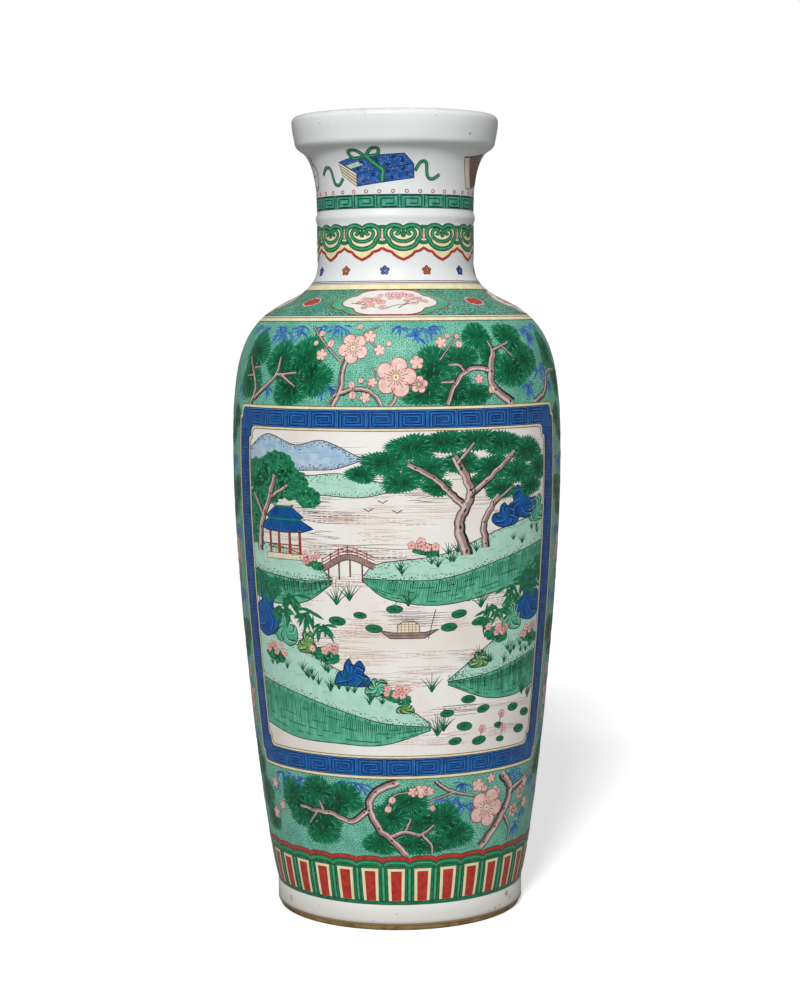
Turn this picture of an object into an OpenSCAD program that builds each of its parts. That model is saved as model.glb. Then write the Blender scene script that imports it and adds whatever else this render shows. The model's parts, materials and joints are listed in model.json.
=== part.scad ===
// Rouleau vase in enamelled porcelain.
// The clay wall is thrown in sections that are luted together with slip at stepped
// laps, then glazed outside, inside and under the base, and painted with fields of
// enamel over the glaze. Millimetres, +Z up, origin at the middle of the foot's rest face.
// The front panel faces -Y.

/* [Foot] */
// Outer radius of the white foot band, over its glaze
foot_r = 71.5; // [68:0.5:76]
// Height of the foot band, from the rest face to the step below the body
foot_h = 14.4; // [12:0.2:18]
// Height of the bare bevel round the bottom edge
foot_bevel_h = 3; // [2:0.5:5]
// How far the bevel draws in at the rest face
foot_bevel_in = 1.4; // [0.6:0.1:2.5]
// Width of the foot ring, from its inner wall to the glazed outside
foot_ring_w = 9; // [8:0.5:12]
// Thickness of the base disc
base_t = 7; // [5:0.5:9]
// Width of the ledge that carries the base disc
base_ledge = 3; // [2:0.5:4]
// How far the foot band stands out beyond the bottom of the body
foot_step = 0.4; // [0.3:0.1:1.5]

/* [Body] */
// Height of the body wall, from the foot to the widest point
body_h = 247.6; // [225:0.2:290]
// Radius at the widest point
belly_r = 94.6; // [88:0.2:102]
// How far up the wall its lower lean carries
waist_reach = 20; // [14:1:32]
// How far the wall leans outwards over that reach
waist_lean = 7; // [5:0.2:9]
// How far down the upright run at the widest point carries
belly_reach = 76; // [60:1:90]
// Thickness of the clay in the body and shoulder
body_wall = 6.4; // [5:0.2:8]
// Place of the luting line in the body wall, as a share of the wall
body_joint_share = 0.55; // [0.45:0.01:0.65]

/* [Shoulder] */
// Height of the shoulder, from the widest point to where it starts to hollow
shoulder_h = 88.5; // [80:0.5:105]
// Radius where the shoulder starts to hollow
shoulder_r = 62; // [56:0.5:68]
// Rise of the shoulder there, for each unit that it comes in
shoulder_rise_ratio = 0.45; // [0.3:0.05:0.7]
// How far up the upright run at the widest point carries
shoulder_reach = 56; // [45:1:65]
// How far out the top slope of the shoulder carries
shoulder_slope_reach = 27.5; // [20:0.5:30]
// Place of the luting line between body and shoulder, as a share of the shoulder
shoulder_joint_share = 0.22; // [0.12:0.01:0.4]
// Height of the hollow between shoulder and neck
neck_root_h = 21.5; // [18:0.5:28]
// How far in the top slope of the shoulder carries into the hollow
root_slope_reach = 10; // [6:0.5:13]
// How far down the upright neck carries into the hollow
root_neck_reach = 11; // [7:0.5:14]
// Place of the luting line between shoulder and neck, as a share of the hollow
neck_joint_share = 0.68; // [0.5:0.01:0.8]

/* [Neck] */
// Radius of the neck
neck_r = 44.8; // [42:0.2:48]
// Height of the straight neck
neck_h = 30; // [29.5:0.5:36]
// Thickness of the clay in the neck
neck_wall = 5.4; // [4.4:0.2:6.4]
// Height of the middle of the raised rib above the hollow
rib_z = 25; // [23.5:0.5:25.5]
// Height of the raised rib
rib_h = 8; // [5:0.5:9]
// How far the rib stands out
rib_proud = 0.9; // [0.5:0.1:1.5]

/* [Mouth] */
// Height of the flare under the lip
flare_h = 33.2; // [28:0.2:38]
// How far the outer end of the flare lies in from the lip
flare_in = 5.6; // [4.5:0.1:7.5]
// How far up the upright neck carries into the flare
flare_reach = 18; // [12:0.5:22]
// How far in the outer end of the flare carries
flare_end_reach = 5; // [3:0.5:7]
// Rise of the flare at its outer end, for each unit that it goes out
flare_rise_ratio = 0.6; // [0.4:0.05:0.9]
// Place of the luting line between neck and mouth, as a share of the flare
mouth_joint_share = 0.5; // [0.35:0.01:0.6]
// Height of the corner between flare and lip
lip_corner_h = 4.8; // [4:0.2:6]
// How far the bottom of the lip lies in from its widest
lip_low_in = 1.7; // [1.1:0.1:3]
// Height of the lip's outer wall
lip_h = 11.6; // [9:0.2:15]
// Radius of the lip at its widest
lip_r = 59.1; // [58.2:0.1:61.5]
// Thickness of the lip over its glaze, which is rounded over the top
lip_t = 7.2; // [6:0.2:8]

/* [Layers] */
// Thickness of the glaze
glaze_t = 0.4; // [0.3:0.05:0.5]
// Thickness of the enamel fields
enamel_t = 0.3; // [0.2:0.05:0.4]
// Thickness of the luting slip between two sections
slip_t = 0.8; // [0.5:0.1:1.2]
// Length of the step in a lapped joint
lap_h = 4; // [3:0.5:5]

/* [Painted fields] */
// Gap between the foot and the lappet band
lappet_gap = 0.4; // [0.2:0.1:2]
// Height of the lappet band
lappet_h = 27.6; // [22:0.2:32]
// Height of the lower frieze, between the lappets and the panels
lower_frieze_h = 46.2; // [38:0.2:50]
// Half the angle that a panel takes round the body
panel_half_deg = 68.5; // [55:0.5:75]
// Height of the frame's upper and lower borders
frame_h = 13; // [9:0.2:18]
// Angle that each side border of the frame takes
frame_deg = 9; // [6:0.5:12]
// Height of the upper frieze, between the panels and the shoulder line
upper_frieze_h = 45.6; // [40:0.2:48]
// Height of each yellow line
line_h = 3; // [2:0.2:3.6]
// Height of the patterned band on the shoulder
shoulder_band_h = 14.2; // [10:0.2:15]
// How far the top of the upper yellow line lies above the start of the hollow
neck_line_rise = 8.7; // [6:0.1:10]
// Gap between the hollow of the neck and the collar
collar_gap = 1; // [0.5:0.1:3]
// Height of the collar
collar_h = 19.6; // [15:0.2:19.8]
// Gap between the rib and the key fret above it
fret_gap = 0.4; // [0.2:0.1:2]
// Height of the key fret on the neck
fret_h = 7.7; // [6:0.1:9]

/* [Hidden] */
$fn = 96;

clay_colour = "#e9e4da";
slip_colour = "#d9cfc0";
glaze_colour = "#eef0f1";
green_colour = "#4fae8c";
leaf_colour = "#0f7a4c";
yellow_colour = "#e6dca0";
blue_colour = "#1f4f9e";
wash_colour = "#e4ddd3";

// Heights, worked out from each other
belly_z = foot_h + body_h;
shoulder_z = belly_z + shoulder_h;
neck_z = shoulder_z + neck_root_h;
rib_mid_z = neck_z + rib_z;
flare_z = neck_z + neck_h;
corner_z = flare_z + flare_h;
lip_z = corner_z + lip_corner_h;
crest_z = lip_z + lip_h;
recess_z = foot_h - base_t;
lappet_z = foot_h + lappet_gap;
frieze_z = lappet_z + lappet_h;
panel_z = frieze_z + lower_frieze_h;
neck_line_z = shoulder_z + neck_line_rise - line_h;
shoulder_band_z = neck_line_z - shoulder_band_h;
shoulder_line_z = shoulder_band_z - line_h;
panel_h = shoulder_line_z - upper_frieze_h - panel_z;
collar_z = neck_z + collar_gap;
fret_z = rib_mid_z + rib_h / 2 + fret_gap;

// Radii of the bottom of the body, the flare, the lip and its rounded crest, and the base disc's seat
waist_r = foot_r - foot_step;
flare_r = lip_r - flare_in;
lip_low_r = lip_r - lip_low_in;
crest_r = lip_t / 2;
crest_mid_r = lip_r - crest_r;
ring_in_r = foot_r - foot_ring_w;
seat_r = ring_in_r + base_ledge;

// The outside of the glaze without the rib, as cubic curves of [radius, height] from foot to lip
wall_curves = [
    [[waist_r, foot_h], [waist_r + waist_lean, foot_h + waist_reach],
        [belly_r, belly_z - belly_reach], [belly_r, belly_z]],
    [[belly_r, belly_z], [belly_r, belly_z + shoulder_reach],
        [shoulder_r, shoulder_z] + shoulder_slope_reach * [1, -shoulder_rise_ratio], [shoulder_r, shoulder_z]],
    [[shoulder_r, shoulder_z], [shoulder_r, shoulder_z] - root_slope_reach * [1, -shoulder_rise_ratio],
        [neck_r, neck_z - root_neck_reach], [neck_r, neck_z]],
    [[neck_r, neck_z], [neck_r, neck_z + neck_h / 3], [neck_r, flare_z - neck_h / 3], [neck_r, flare_z]],
    [[neck_r, flare_z], [neck_r, flare_z + flare_reach],
        [flare_r, corner_z] - flare_end_reach * [1, flare_rise_ratio], [flare_r, corner_z]],
    [[flare_r, corner_z], [mix(flare_r, lip_low_r, 0.6), corner_z + lip_corner_h * 0.3],
        [mix(flare_r, lip_low_r, 0.92), lip_z - lip_corner_h / 2], [lip_low_r, lip_z]],
    [[lip_low_r, lip_z], [mix(lip_low_r, lip_r, 0.4), lip_z + lip_h / 3],
        [lip_r, crest_z - lip_h / 3], [lip_r, crest_z]]
];
// Steps along each curve, and the place along the wall where each curve starts
curve_steps = [20, 22, 14, 30, 16, 8, 6];
body_start = 0;
shoulder_start = body_start + curve_steps[0];
root_start = shoulder_start + curve_steps[1];
neck_start = root_start + curve_steps[2];
flare_start = neck_start + curve_steps[3];
corner_start = flare_start + curve_steps[4];
crest_end = corner_start + curve_steps[5] + curve_steps[6];
crest_steps = 12;
cutter_t = 4;

function mix(a, b, share) = a + (b - a) * share;
function curve_point(c, t) =
    pow(1 - t, 3) * c[0] + 3 * pow(1 - t, 2) * t * c[1] + 3 * (1 - t) * t * t * c[2] + pow(t, 3) * c[3];
function curve_heading(c, t) =
    let (d = pow(1 - t, 2) * (c[1] - c[0]) + 2 * (1 - t) * t * (c[2] - c[1]) + t * t * (c[3] - c[2]))
    d / norm(d);
function outward(heading) = [heading[1], -heading[0]];
function reversed(list) = [for (k = [len(list) - 1 : -1 : 0]) list[k]];

// One entry for each step along the wall: the curve it lies on and how far along
wall_steps = concat(
    [for (k = [0 : len(wall_curves) - 1]) for (n = [0 : curve_steps[k] - 1])
        [wall_curves[k], n / curve_steps[k]]],
    [[wall_curves[len(wall_curves) - 1], 1]]
);
// Outward directions. The first is level, so that the wall stands flat on the foot
wall_out = [for (k = [0 : crest_end])
    k == 0 ? [1, 0] : outward(curve_heading(wall_steps[k][0], wall_steps[k][1]))];

// Thickness of the clay: the body's, then the neck's, blended through the hollow
function clay_t(k) =
    k <= root_start ? body_wall :
    k >= neck_start ? neck_wall :
    mix(body_wall, neck_wall, (k - root_start) / curve_steps[2]);

// Height profile of the raised rib
function rib_rise(z) =
    abs(z - rib_mid_z) >= rib_h / 2 ? 0 : rib_proud * (1 + cos(360 * (z - rib_mid_z) / rib_h)) / 2;

wall_line = [for (s = wall_steps) curve_point(s[0], s[1])];
glaze_line = [for (p = wall_line) p + [rib_rise(p[1]), 0]];
clay_line = [for (k = [0 : crest_end]) wall_line[k] - glaze_t * wall_out[k]];
rib_line = [for (k = [0 : crest_end]) clay_line[k] + [rib_rise(wall_line[k][1]), 0]];
enamel_line = [for (k = [0 : crest_end]) glaze_line[k] + enamel_t * wall_out[k]];

// The inside of the clay follows the outside up to the lip, then turns up to its crest
lining_foot = wall_line[corner_start] - (glaze_t + neck_wall) * wall_out[corner_start];
lining_r = crest_mid_r - crest_r + glaze_t;
lining_curve = [
    lining_foot, mix(lining_foot, [lining_r, lining_foot[1] + lip_corner_h / 5], 0.6),
    [lining_r, mix(lining_foot[1], crest_z, 0.3)], [lining_r, crest_z]
];
lining_steps = crest_end - corner_start;
bore_line = concat(
    [for (k = [0 : corner_start - 1]) wall_line[k] - (glaze_t + clay_t(k)) * wall_out[k]],
    [for (n = [0 : lining_steps]) curve_point(lining_curve, n / lining_steps)]
);
lining_out = [for (k = [0 : crest_end]) k < corner_start ? wall_out[k] :
    outward(curve_heading(lining_curve, (k - corner_start) / lining_steps))];
lining_line = [for (k = [0 : crest_end]) bore_line[k] - glaze_t * lining_out[k]];

// Points at any place along the wall, between its steps too
function at(line, place) =
    let (k = min(floor(place), crest_end - 1)) mix(line[k], line[k + 1], place - k);
function climb(low, high) =
    concat([low], [for (k = [floor(low) + 1 : 1 : ceil(high) - 1]) k], [high]);
function descend(high, low) = reversed(climb(low, high));
function along(line, places) = [for (p = places) at(line, p)];
function in_clay(places, depth) = [for (p = places) mix(at(clay_line, p), at(bore_line, p), depth)];
function place_at(z) = [for (k = [0 : crest_end - 1]) if (wall_line[k][1] <= z && z < wall_line[k + 1][1])
    k + (z - wall_line[k][1]) / (wall_line[k + 1][1] - wall_line[k][1])][0];

// Places of the luting lines, and the stepped lap at one of them: the section below keeps
// its inner half taller, and slip fills the gap all the way through
body_lute = body_start + body_joint_share * curve_steps[0];
shoulder_lute = shoulder_start + shoulder_joint_share * curve_steps[1];
neck_lute = root_start + neck_joint_share * curve_steps[2];
rib_lute = neck_start + rib_z / neck_h * curve_steps[3];
mouth_lute = flare_start + mouth_joint_share * curve_steps[4];
foot_lute = slip_t / step_length(0);

function step_length(place) = norm(wall_line[floor(place) + 1] - wall_line[floor(place)]);
function half_lap(j) = lap_h / 2 / step_length(j);
function half_slip(j) = slip_t / 2 / step_length(j);
function slip_share(j) = slip_t / 2 / clay_t(j);
function below_out(j) = j - half_lap(j) - half_slip(j);
function below_in(j) = j + half_lap(j) - half_slip(j);
function above_out(j) = j - half_lap(j) + half_slip(j);
function above_in(j) = j + half_lap(j) + half_slip(j);
function lap_top(j) = in_clay(climb(below_out(j), below_in(j)), 0.5 + slip_share(j));
function lap_bottom(j) = in_clay(descend(above_in(j), above_out(j)), 0.5 - slip_share(j));

function arc(r, from, to) =
    [for (n = [0 : crest_steps])
        let (a = mix(from, to, n / crest_steps)) [crest_mid_r + r * cos(a), crest_z + r * sin(a)]];

// A solid of revolution. Points along a straight run are left out, so that it turns one face
function on_line(a, b, c) = abs(cross(b - a, c - b)) < 1e-9 * norm(b - a) * norm(c - b);
function corners(path) = [for (k = [0 : len(path) - 1])
    if (!on_line(path[(k + len(path) - 1) % len(path)], path[k], path[(k + 1) % len(path)])) path[k]];
module turned(path) { rotate_extrude() polygon(corners(path)); }

// A section of the wall between two lapped luting lines
module thrown_section(low, high) {
    turned(concat(
        in_clay(climb(above_out(low), below_out(high)), 0), lap_top(high),
        in_clay(descend(below_in(high), above_in(low)), 1), lap_bottom(low)
    ));
}

// The slip in a lapped luting line
module lapped_slip(j) {
    color(slip_colour) turned(concat(
        in_clay(descend(above_out(j), below_out(j)), 0), lap_top(j),
        in_clay(climb(below_in(j), above_in(j)), 1), lap_bottom(j)
    ));
}

// An enamel field between two heights, all the way round
module enamel_band(low_z, high_z) {
    places = climb(place_at(low_z), place_at(high_z));
    turned(concat(along(glaze_line, places), reversed(along(enamel_line, places))));
}

// A wedge of space between two heights that turns half_deg each way from -Y
module panel_space(low_z, high_z, half_deg) {
    places = climb(place_at(low_z), place_at(high_z));
    inner = [for (p = along(wall_line, places)) p - [cutter_t, 0]];
    outer = [for (p = along(wall_line, places)) p + [cutter_t, 0]];
    rotate([0, 0, -90 - half_deg]) rotate_extrude(angle = 2 * half_deg)
        polygon(concat(inner, reversed(outer)));
}

module panel_field(low_z, high_z, half_deg) {
    places = climb(place_at(low_z), place_at(high_z));
    rotate([0, 0, -90 - half_deg]) rotate_extrude(angle = 2 * half_deg)
        polygon(concat(along(glaze_line, places), reversed(along(enamel_line, places))));
}

module window() { panel_space(panel_z, panel_z + panel_h, panel_half_deg); }
module picture_space() {
    panel_space(panel_z + frame_h, panel_z + panel_h - frame_h, panel_half_deg - frame_deg);
}

// Clay sections, from the foot up
module foot_ring() {
    color(clay_colour) turned([
        [ring_in_r, 0], [foot_r - foot_bevel_in, 0], [foot_r - glaze_t, foot_bevel_h],
        [foot_r - glaze_t, foot_h - glaze_t], clay_line[0], [seat_r, foot_h],
        [seat_r, recess_z - slip_t], [ring_in_r, recess_z - slip_t]
    ]);
}

module base_disc() {
    color(clay_colour) translate([0, 0, recess_z]) cylinder(r = seat_r - slip_t, h = base_t);
}

module lower_body() {
    color(clay_colour) turned(concat(
        in_clay(climb(foot_lute, below_out(body_lute)), 0), lap_top(body_lute),
        in_clay(descend(below_in(body_lute), foot_lute), 1)
    ));
}

module upper_body() { color(clay_colour) thrown_section(body_lute, shoulder_lute); }
module shoulder() { color(clay_colour) thrown_section(shoulder_lute, neck_lute); }
module lower_neck() { color(clay_colour) thrown_section(neck_lute, rib_lute); }
module upper_neck() { color(clay_colour) thrown_section(rib_lute, mouth_lute); }

// The rib is a rolled strip laid over the joint in the neck
module neck_rib() {
    steps = [for (k = [neck_start : flare_start]) if (rib_rise(wall_line[k][1]) > 0) k];
    color(clay_colour) turned(along(rib_line, [for (k = [steps[0] - 1 : steps[len(steps) - 1] + 1]) k]));
}

module mouth_rim() {
    color(clay_colour) turned(concat(
        in_clay(climb(above_out(mouth_lute), crest_end - 1), 0), arc(crest_r - glaze_t, 0, 180),
        in_clay(descend(crest_end - 1, above_in(mouth_lute)), 1), lap_bottom(mouth_lute)
    ));
}

// Slip in the luting lines
module base_slip() {
    color(slip_colour) turned([
        [ring_in_r, recess_z - slip_t], [seat_r, recess_z - slip_t], [seat_r, foot_h],
        [seat_r - slip_t, foot_h], [seat_r - slip_t, recess_z], [ring_in_r, recess_z]
    ]);
}

module foot_slip() {
    color(slip_colour) turned([
        clay_line[0], at(clay_line, foot_lute), at(bore_line, foot_lute), bore_line[0]
    ]);
}

// Glaze: outside from the bevel to the crest, inside from the crest to the floor, and the base
module outer_glaze() {
    color(glaze_colour) turned(concat(
        [[foot_r, foot_bevel_h], [foot_r, foot_h - glaze_t]],
        along(glaze_line, climb(0, crest_end - 1)), arc(crest_r, 0, 90),
        arc(crest_r - glaze_t, 90, 0), along(rib_line, descend(crest_end - 1, 0)),
        [[foot_r - glaze_t, foot_h - glaze_t], [foot_r - glaze_t, foot_bevel_h]]
    ));
}

module inner_glaze() {
    color(glaze_colour) turned(concat(
        [[0, foot_h]], along(bore_line, climb(0, crest_end - 1)), arc(crest_r - glaze_t, 180, 90),
        arc(crest_r, 90, 180), along(lining_line, descend(crest_end - 1, 1)),
        [[lining_line[0][0], foot_h + glaze_t], [0, foot_h + glaze_t]]
    ));
}

module base_glaze() {
    color(glaze_colour) translate([0, 0, recess_z - glaze_t]) cylinder(r = ring_in_r, h = glaze_t);
}

// Enamel fields over the glaze
module lappet_enamel() { color(leaf_colour) enamel_band(lappet_z, frieze_z); }

module frieze_enamel() {
    color(green_colour) difference() {
        enamel_band(frieze_z, shoulder_line_z);
        for (turn = [0, 180]) rotate([0, 0, turn]) window();
    }
}

module frame_enamel(turn) {
    color(blue_colour) rotate([0, 0, turn]) difference() {
        panel_field(panel_z, panel_z + panel_h, panel_half_deg);
        picture_space();
    }
}

module panel_enamel(turn) {
    color(wash_colour) rotate([0, 0, turn])
        panel_field(panel_z + frame_h, panel_z + panel_h - frame_h, panel_half_deg - frame_deg);
}

module shoulder_line_enamel() { color(yellow_colour) enamel_band(shoulder_line_z, shoulder_band_z); }
module shoulder_band_enamel() { color(green_colour) enamel_band(shoulder_band_z, neck_line_z); }
module neck_line_enamel() { color(yellow_colour) enamel_band(neck_line_z, neck_line_z + line_h); }
module collar_enamel() { color(leaf_colour) enamel_band(collar_z, collar_z + collar_h); }
module fret_enamel() { color(green_colour) enamel_band(fret_z, fret_z + fret_h); }

foot_ring();
base_disc();
lower_body();
upper_body();
shoulder();
lower_neck();
upper_neck();
neck_rib();
mouth_rim();
base_slip();
foot_slip();
lapped_slip(body_lute);  // body_slip
lapped_slip(shoulder_lute);  // shoulder_slip
lapped_slip(neck_lute);  // neck_slip
lapped_slip(rib_lute);  // rib_slip
lapped_slip(mouth_lute);  // mouth_slip
outer_glaze();
inner_glaze();
base_glaze();
lappet_enamel();
frieze_enamel();
frame_enamel(0);  // front_frame_enamel
frame_enamel(180);  // back_frame_enamel
panel_enamel(0);  // front_panel_enamel
panel_enamel(180);  // back_panel_enamel
shoulder_line_enamel();
shoulder_band_enamel();
neck_line_enamel();
collar_enamel();
fret_enamel();
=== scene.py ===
"""Looks of the rouleau vase: glaze, enamel grounds and the drawn enamel that lies on them.

Drawn enamel is made flat, in millimetres round and up the wall, as closed reliefs a few tenths of a
millimetre thick, and is then laid on the vase. Angles are in degrees from the front, positive to the
right. Heights are in millimetres above the table.
"""
import json
import random
from bisect import bisect_right
from math import ceil, cos, floor, hypot, pi, radians, sin, tau

import bmesh
import bpy
from mathutils import Matrix, Vector


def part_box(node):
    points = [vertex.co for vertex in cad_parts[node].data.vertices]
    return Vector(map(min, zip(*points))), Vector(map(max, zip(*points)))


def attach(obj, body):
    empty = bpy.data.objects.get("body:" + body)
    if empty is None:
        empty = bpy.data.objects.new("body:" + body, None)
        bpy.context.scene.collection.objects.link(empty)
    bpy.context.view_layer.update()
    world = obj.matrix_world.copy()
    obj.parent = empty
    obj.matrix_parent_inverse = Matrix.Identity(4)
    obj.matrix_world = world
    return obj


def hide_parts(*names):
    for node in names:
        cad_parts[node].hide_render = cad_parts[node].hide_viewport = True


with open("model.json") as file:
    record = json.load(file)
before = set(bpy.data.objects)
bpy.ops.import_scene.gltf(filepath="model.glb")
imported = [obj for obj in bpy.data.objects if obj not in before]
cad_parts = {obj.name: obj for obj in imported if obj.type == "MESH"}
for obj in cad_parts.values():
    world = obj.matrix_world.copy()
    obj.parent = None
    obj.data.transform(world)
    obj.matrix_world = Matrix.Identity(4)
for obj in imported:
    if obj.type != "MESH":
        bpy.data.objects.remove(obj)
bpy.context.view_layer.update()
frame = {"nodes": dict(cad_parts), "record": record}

MM = 0.001
LATHE_STEPS = 192
# Sharpest turn, in radians, that still counts as part of a curve in the profile
CORNER = 0.2
# Lengths that the profile is cut into, outside and inside, and how far to each side its slope is taken
WALL_STEP = 2.5
INSIDE_STEP = 6.0
SLOPE_REACH = 0.8
# How deep the undersides of the enamel are sunk in the glaze, where its layers start, and the step
# from one layer to the next
SUNK = -0.05
GROUND = 0.08
DRAWN = 0.12
FRAMED = 0.26
LAYER = 0.006
# Widths of drawn lines
FINE = 0.34
HAIR = 0.24
# Patches of enamel are cut into pieces of this size so that they bend with the wall
PATCH = 2.6
# Tallest rows that bands of enamel and banks of land are cut into
BAND_ROW = 3.0
BANK_ROW = 2.2
# Edges that turn by more than this, in radians, stay sharp
CREASE = 0.5
# The bake map has one square for each finish, in this many rows, with a margin in each square
BAKE_ROWS = 5
BAKE_MARGIN = 0.05
# A drawing is laid on the vase each time it holds more points than this
CEL_LIMIT = 3000
# Half widths of the frames and of the panels inside them, in degrees
FRAME_DEG = 68.5
PANEL_DEG = 59.5
# Layers of a panel: far land, cliffs, near land, what stands on it, foliage and limbs
FAR_LAYER = 5
CLIFF_LAYER = 7
NEAR_LAYER = 9
STANDING_LAYER = 11
FOLIAGE_LAYER = 12
LIMB_LAYER = 19


# Lines and points on a flat sheet

def smooth_path(points, step=1.2):
    """A soft curve through points, as a list of points about a step apart."""
    points = [Vector(point) for point in points]
    ends = [points[0] * 2 - points[1]] + points + [points[-1] * 2 - points[-2]]
    path = [points[0]]
    for k in range(1, len(ends) - 2):
        before, start, end, after = ends[k - 1:k + 3]
        count = max(1, round((end - start).length / step))
        for n in range(1, count + 1):
            t = n / count
            bend = (end - before) * t + (before * 2 - start * 5 + end * 4 - after) * t ** 2
            bend += (start * 3 - before - end * 3 + after) * t ** 3
            path.append(start + bend * 0.5)
    return path


def smooth_ring(points, step=1.2):
    """A soft closed curve through points."""
    points = [Vector(point) for point in points]
    around = points[-2:] + points + points[:2]
    path = smooth_path(around, step)
    first = path.index(min(path, key=lambda point: (point - points[0]).length))
    last = max(k for k, point in enumerate(path) if (point - points[0]).length < 1e-4)
    return path[first:last]


def straight_path(points, step=1.6):
    """Straight runs between points, cut into lengths of at most a step."""
    points = [Vector(point) for point in points]
    path = [points[0]]
    for start, end in zip(points, points[1:]):
        count = max(1, ceil((end - start).length / step))
        path += [start.lerp(end, n / count) for n in range(1, count + 1)]
    return path


def polar(middle, radius, angle):
    return Vector((middle[0] + radius * cos(angle), middle[1] + radius * sin(angle)))


def swing(wide, tall, angle):
    """The step from the middle of an oval to a point on it."""
    return Vector((wide * cos(angle), tall * sin(angle)))


def oval(middle, across, along, heading=0.0, count=12):
    """Points round an oval whose long side lies along a heading."""
    turned = Matrix.Rotation(heading, 2)
    spots = [swing(along, across, tau * k / count) for k in range(count)]
    return [Vector(middle) + turned @ spot for spot in spots]


def mirrored(half):
    """A ring of points from its right half, listed from the top to the bottom on the axis."""
    return [Vector(point) for point in half] + [Vector((-x, y)) for x, y in half[-2:0:-1]]


# Shape of the vase, read from the CAD nodes

def turned_rows(node, side):
    """Radii and heights, in millimetres, of the faces of a node that look out (1) or in (-1)."""
    mesh = frame["nodes"][node].data
    rows = {}
    for face in mesh.polygons:
        middle = face.center
        if side * (face.normal.x * middle.x + face.normal.y * middle.y) > 1e-6:
            for index in face.vertices:
                point = mesh.vertices[index].co / MM
                rows[round(point.z, 2)] = hypot(point.x, point.y)
    return [Vector((radius, height)) for height, radius in sorted(rows.items())]


def eased(rows, step):
    """The rows of a profile with soft curves through them from each sharp corner to the next."""
    runs = [[rows[0]]]
    for before, point, after in zip(rows, rows[1:], rows[2:]):
        runs[-1].append(point)
        if (point - before).angle(after - point) > CORNER:
            runs.append([point])
    runs[-1].append(rows[-1])
    line = [rows[0]]
    for run in runs:
        line += smooth_path(run, step)[1:] if len(run) > 2 else run[1:]
    return line


def node_heights(node):
    """Lowest and highest height of a CAD node, in millimetres."""
    low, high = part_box(node)
    return low[2] / MM, high[2] / MM


class Wall:
    """The outside of the vase, measured by length along it from the foot's bevel."""

    def __init__(self, points):
        self.points = points
        self.heights = [point.y for point in points]
        self.lengths = [0.0]
        for low, high in zip(points, points[1:]):
            self.lengths.append(self.lengths[-1] + (high - low).length)

    def length_at(self, height):
        k = min(max(bisect_right(self.heights, height), 1), len(self.heights) - 1)
        share = (height - self.heights[k - 1]) / (self.heights[k] - self.heights[k - 1])
        return self.lengths[k - 1] + share * (self.lengths[k] - self.lengths[k - 1])

    def point_at(self, length):
        k = min(max(bisect_right(self.lengths, length), 1), len(self.lengths) - 1)
        share = (length - self.lengths[k - 1]) / (self.lengths[k] - self.lengths[k - 1])
        return self.points[k - 1].lerp(self.points[k], share)

    def out_at(self, length):
        run = self.point_at(length + SLOPE_REACH) - self.point_at(length - SLOPE_REACH)
        return Vector((run.y, -run.x)).normalized()


wall = Wall(eased(turned_rows("outer_glaze", 1), WALL_STEP))


# Finishes

def srgb(red, green, blue):
    """A colour written in 0 to 255, as the linear colour that a shader takes."""
    parts = []
    for part in (red, green, blue):
        part = part / 255
        parts.append(part / 12.92 if part <= 0.04045 else ((part + 0.055) / 1.055) ** 2.4)
    return (*parts, 1.0)


class Wire:
    """A value that runs between nodes. Sums on it add Math nodes."""

    def __init__(self, finish, socket):
        self.finish = finish
        self.socket = socket

    def math(self, operation, other):
        return self.finish.add("Math", {"operation": operation}, {0: self, 1: other})

    def __add__(self, other):
        return self.math("ADD", other)

    def __mul__(self, other):
        return self.math("MULTIPLY", other)

    def step(self, low, high):
        """0 below low and 1 above high, eased between them. It falls instead where low is the larger."""
        settings = {"interpolation_type": "SMOOTHSTEP"}
        if low < high:
            sockets = {"Value": self, "From Min": low, "From Max": high, "To Min": 0.0, "To Max": 1.0}
        else:
            sockets = {"Value": self, "From Min": high, "From Max": low, "To Min": 1.0, "To Max": 0.0}
        return self.finish.add("MapRange", settings, sockets)


class Finish:
    """A material, or the world, in the making."""

    def __init__(self, name, shelf=bpy.data.materials):
        self.owner = shelf.new(name)
        self.owner.use_nodes = True
        self.tree = self.owner.node_tree
        self.tree.nodes.clear()

    def add(self, kind, settings, sockets, output=0):
        node = self.tree.nodes.new("ShaderNode" + kind)
        for name, value in settings.items():
            setattr(node, name, value)
        for name, value in sockets.items():
            self.feed(node.inputs[name], value)
        return Wire(self, node.outputs[output]) if node.outputs else None

    def feed(self, socket, value):
        if isinstance(value, Wire):
            self.tree.links.new(value.socket, socket)
        else:
            socket.default_value = value

    def place(self):
        return self.add("TexCoord", {}, {}, "Object")

    def noise(self, size, detail):
        """Soft noise from 0 to 1 with blotches of a size in millimetres."""
        sockets = {"Vector": self.place(), "Scale": 1 / (size * MM), "Detail": detail}
        return self.add("TexNoise", {}, sockets)

    def blend(self, share, first, second):
        return self.add("Mix", {"data_type": "RGBA"}, {0: share, 6: first, 7: second}, 2)

    def bump(self, height, depth):
        """A bump of a depth in millimetres."""
        return self.add("Bump", {}, {"Strength": 1.0, "Distance": depth * MM, "Height": height})

    def end(self, constants, wires):
        shader = self.add("BsdfPrincipled", {}, {**constants, **wires})
        self.add("OutputMaterial", {}, {"Surface": shader})
        return self.owner


# The gloss of all fired glaze and enamel
GLOSS = {"Specular IOR Level": 0.36, "Coat Weight": 0.1, "Coat Roughness": 0.06}


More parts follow.
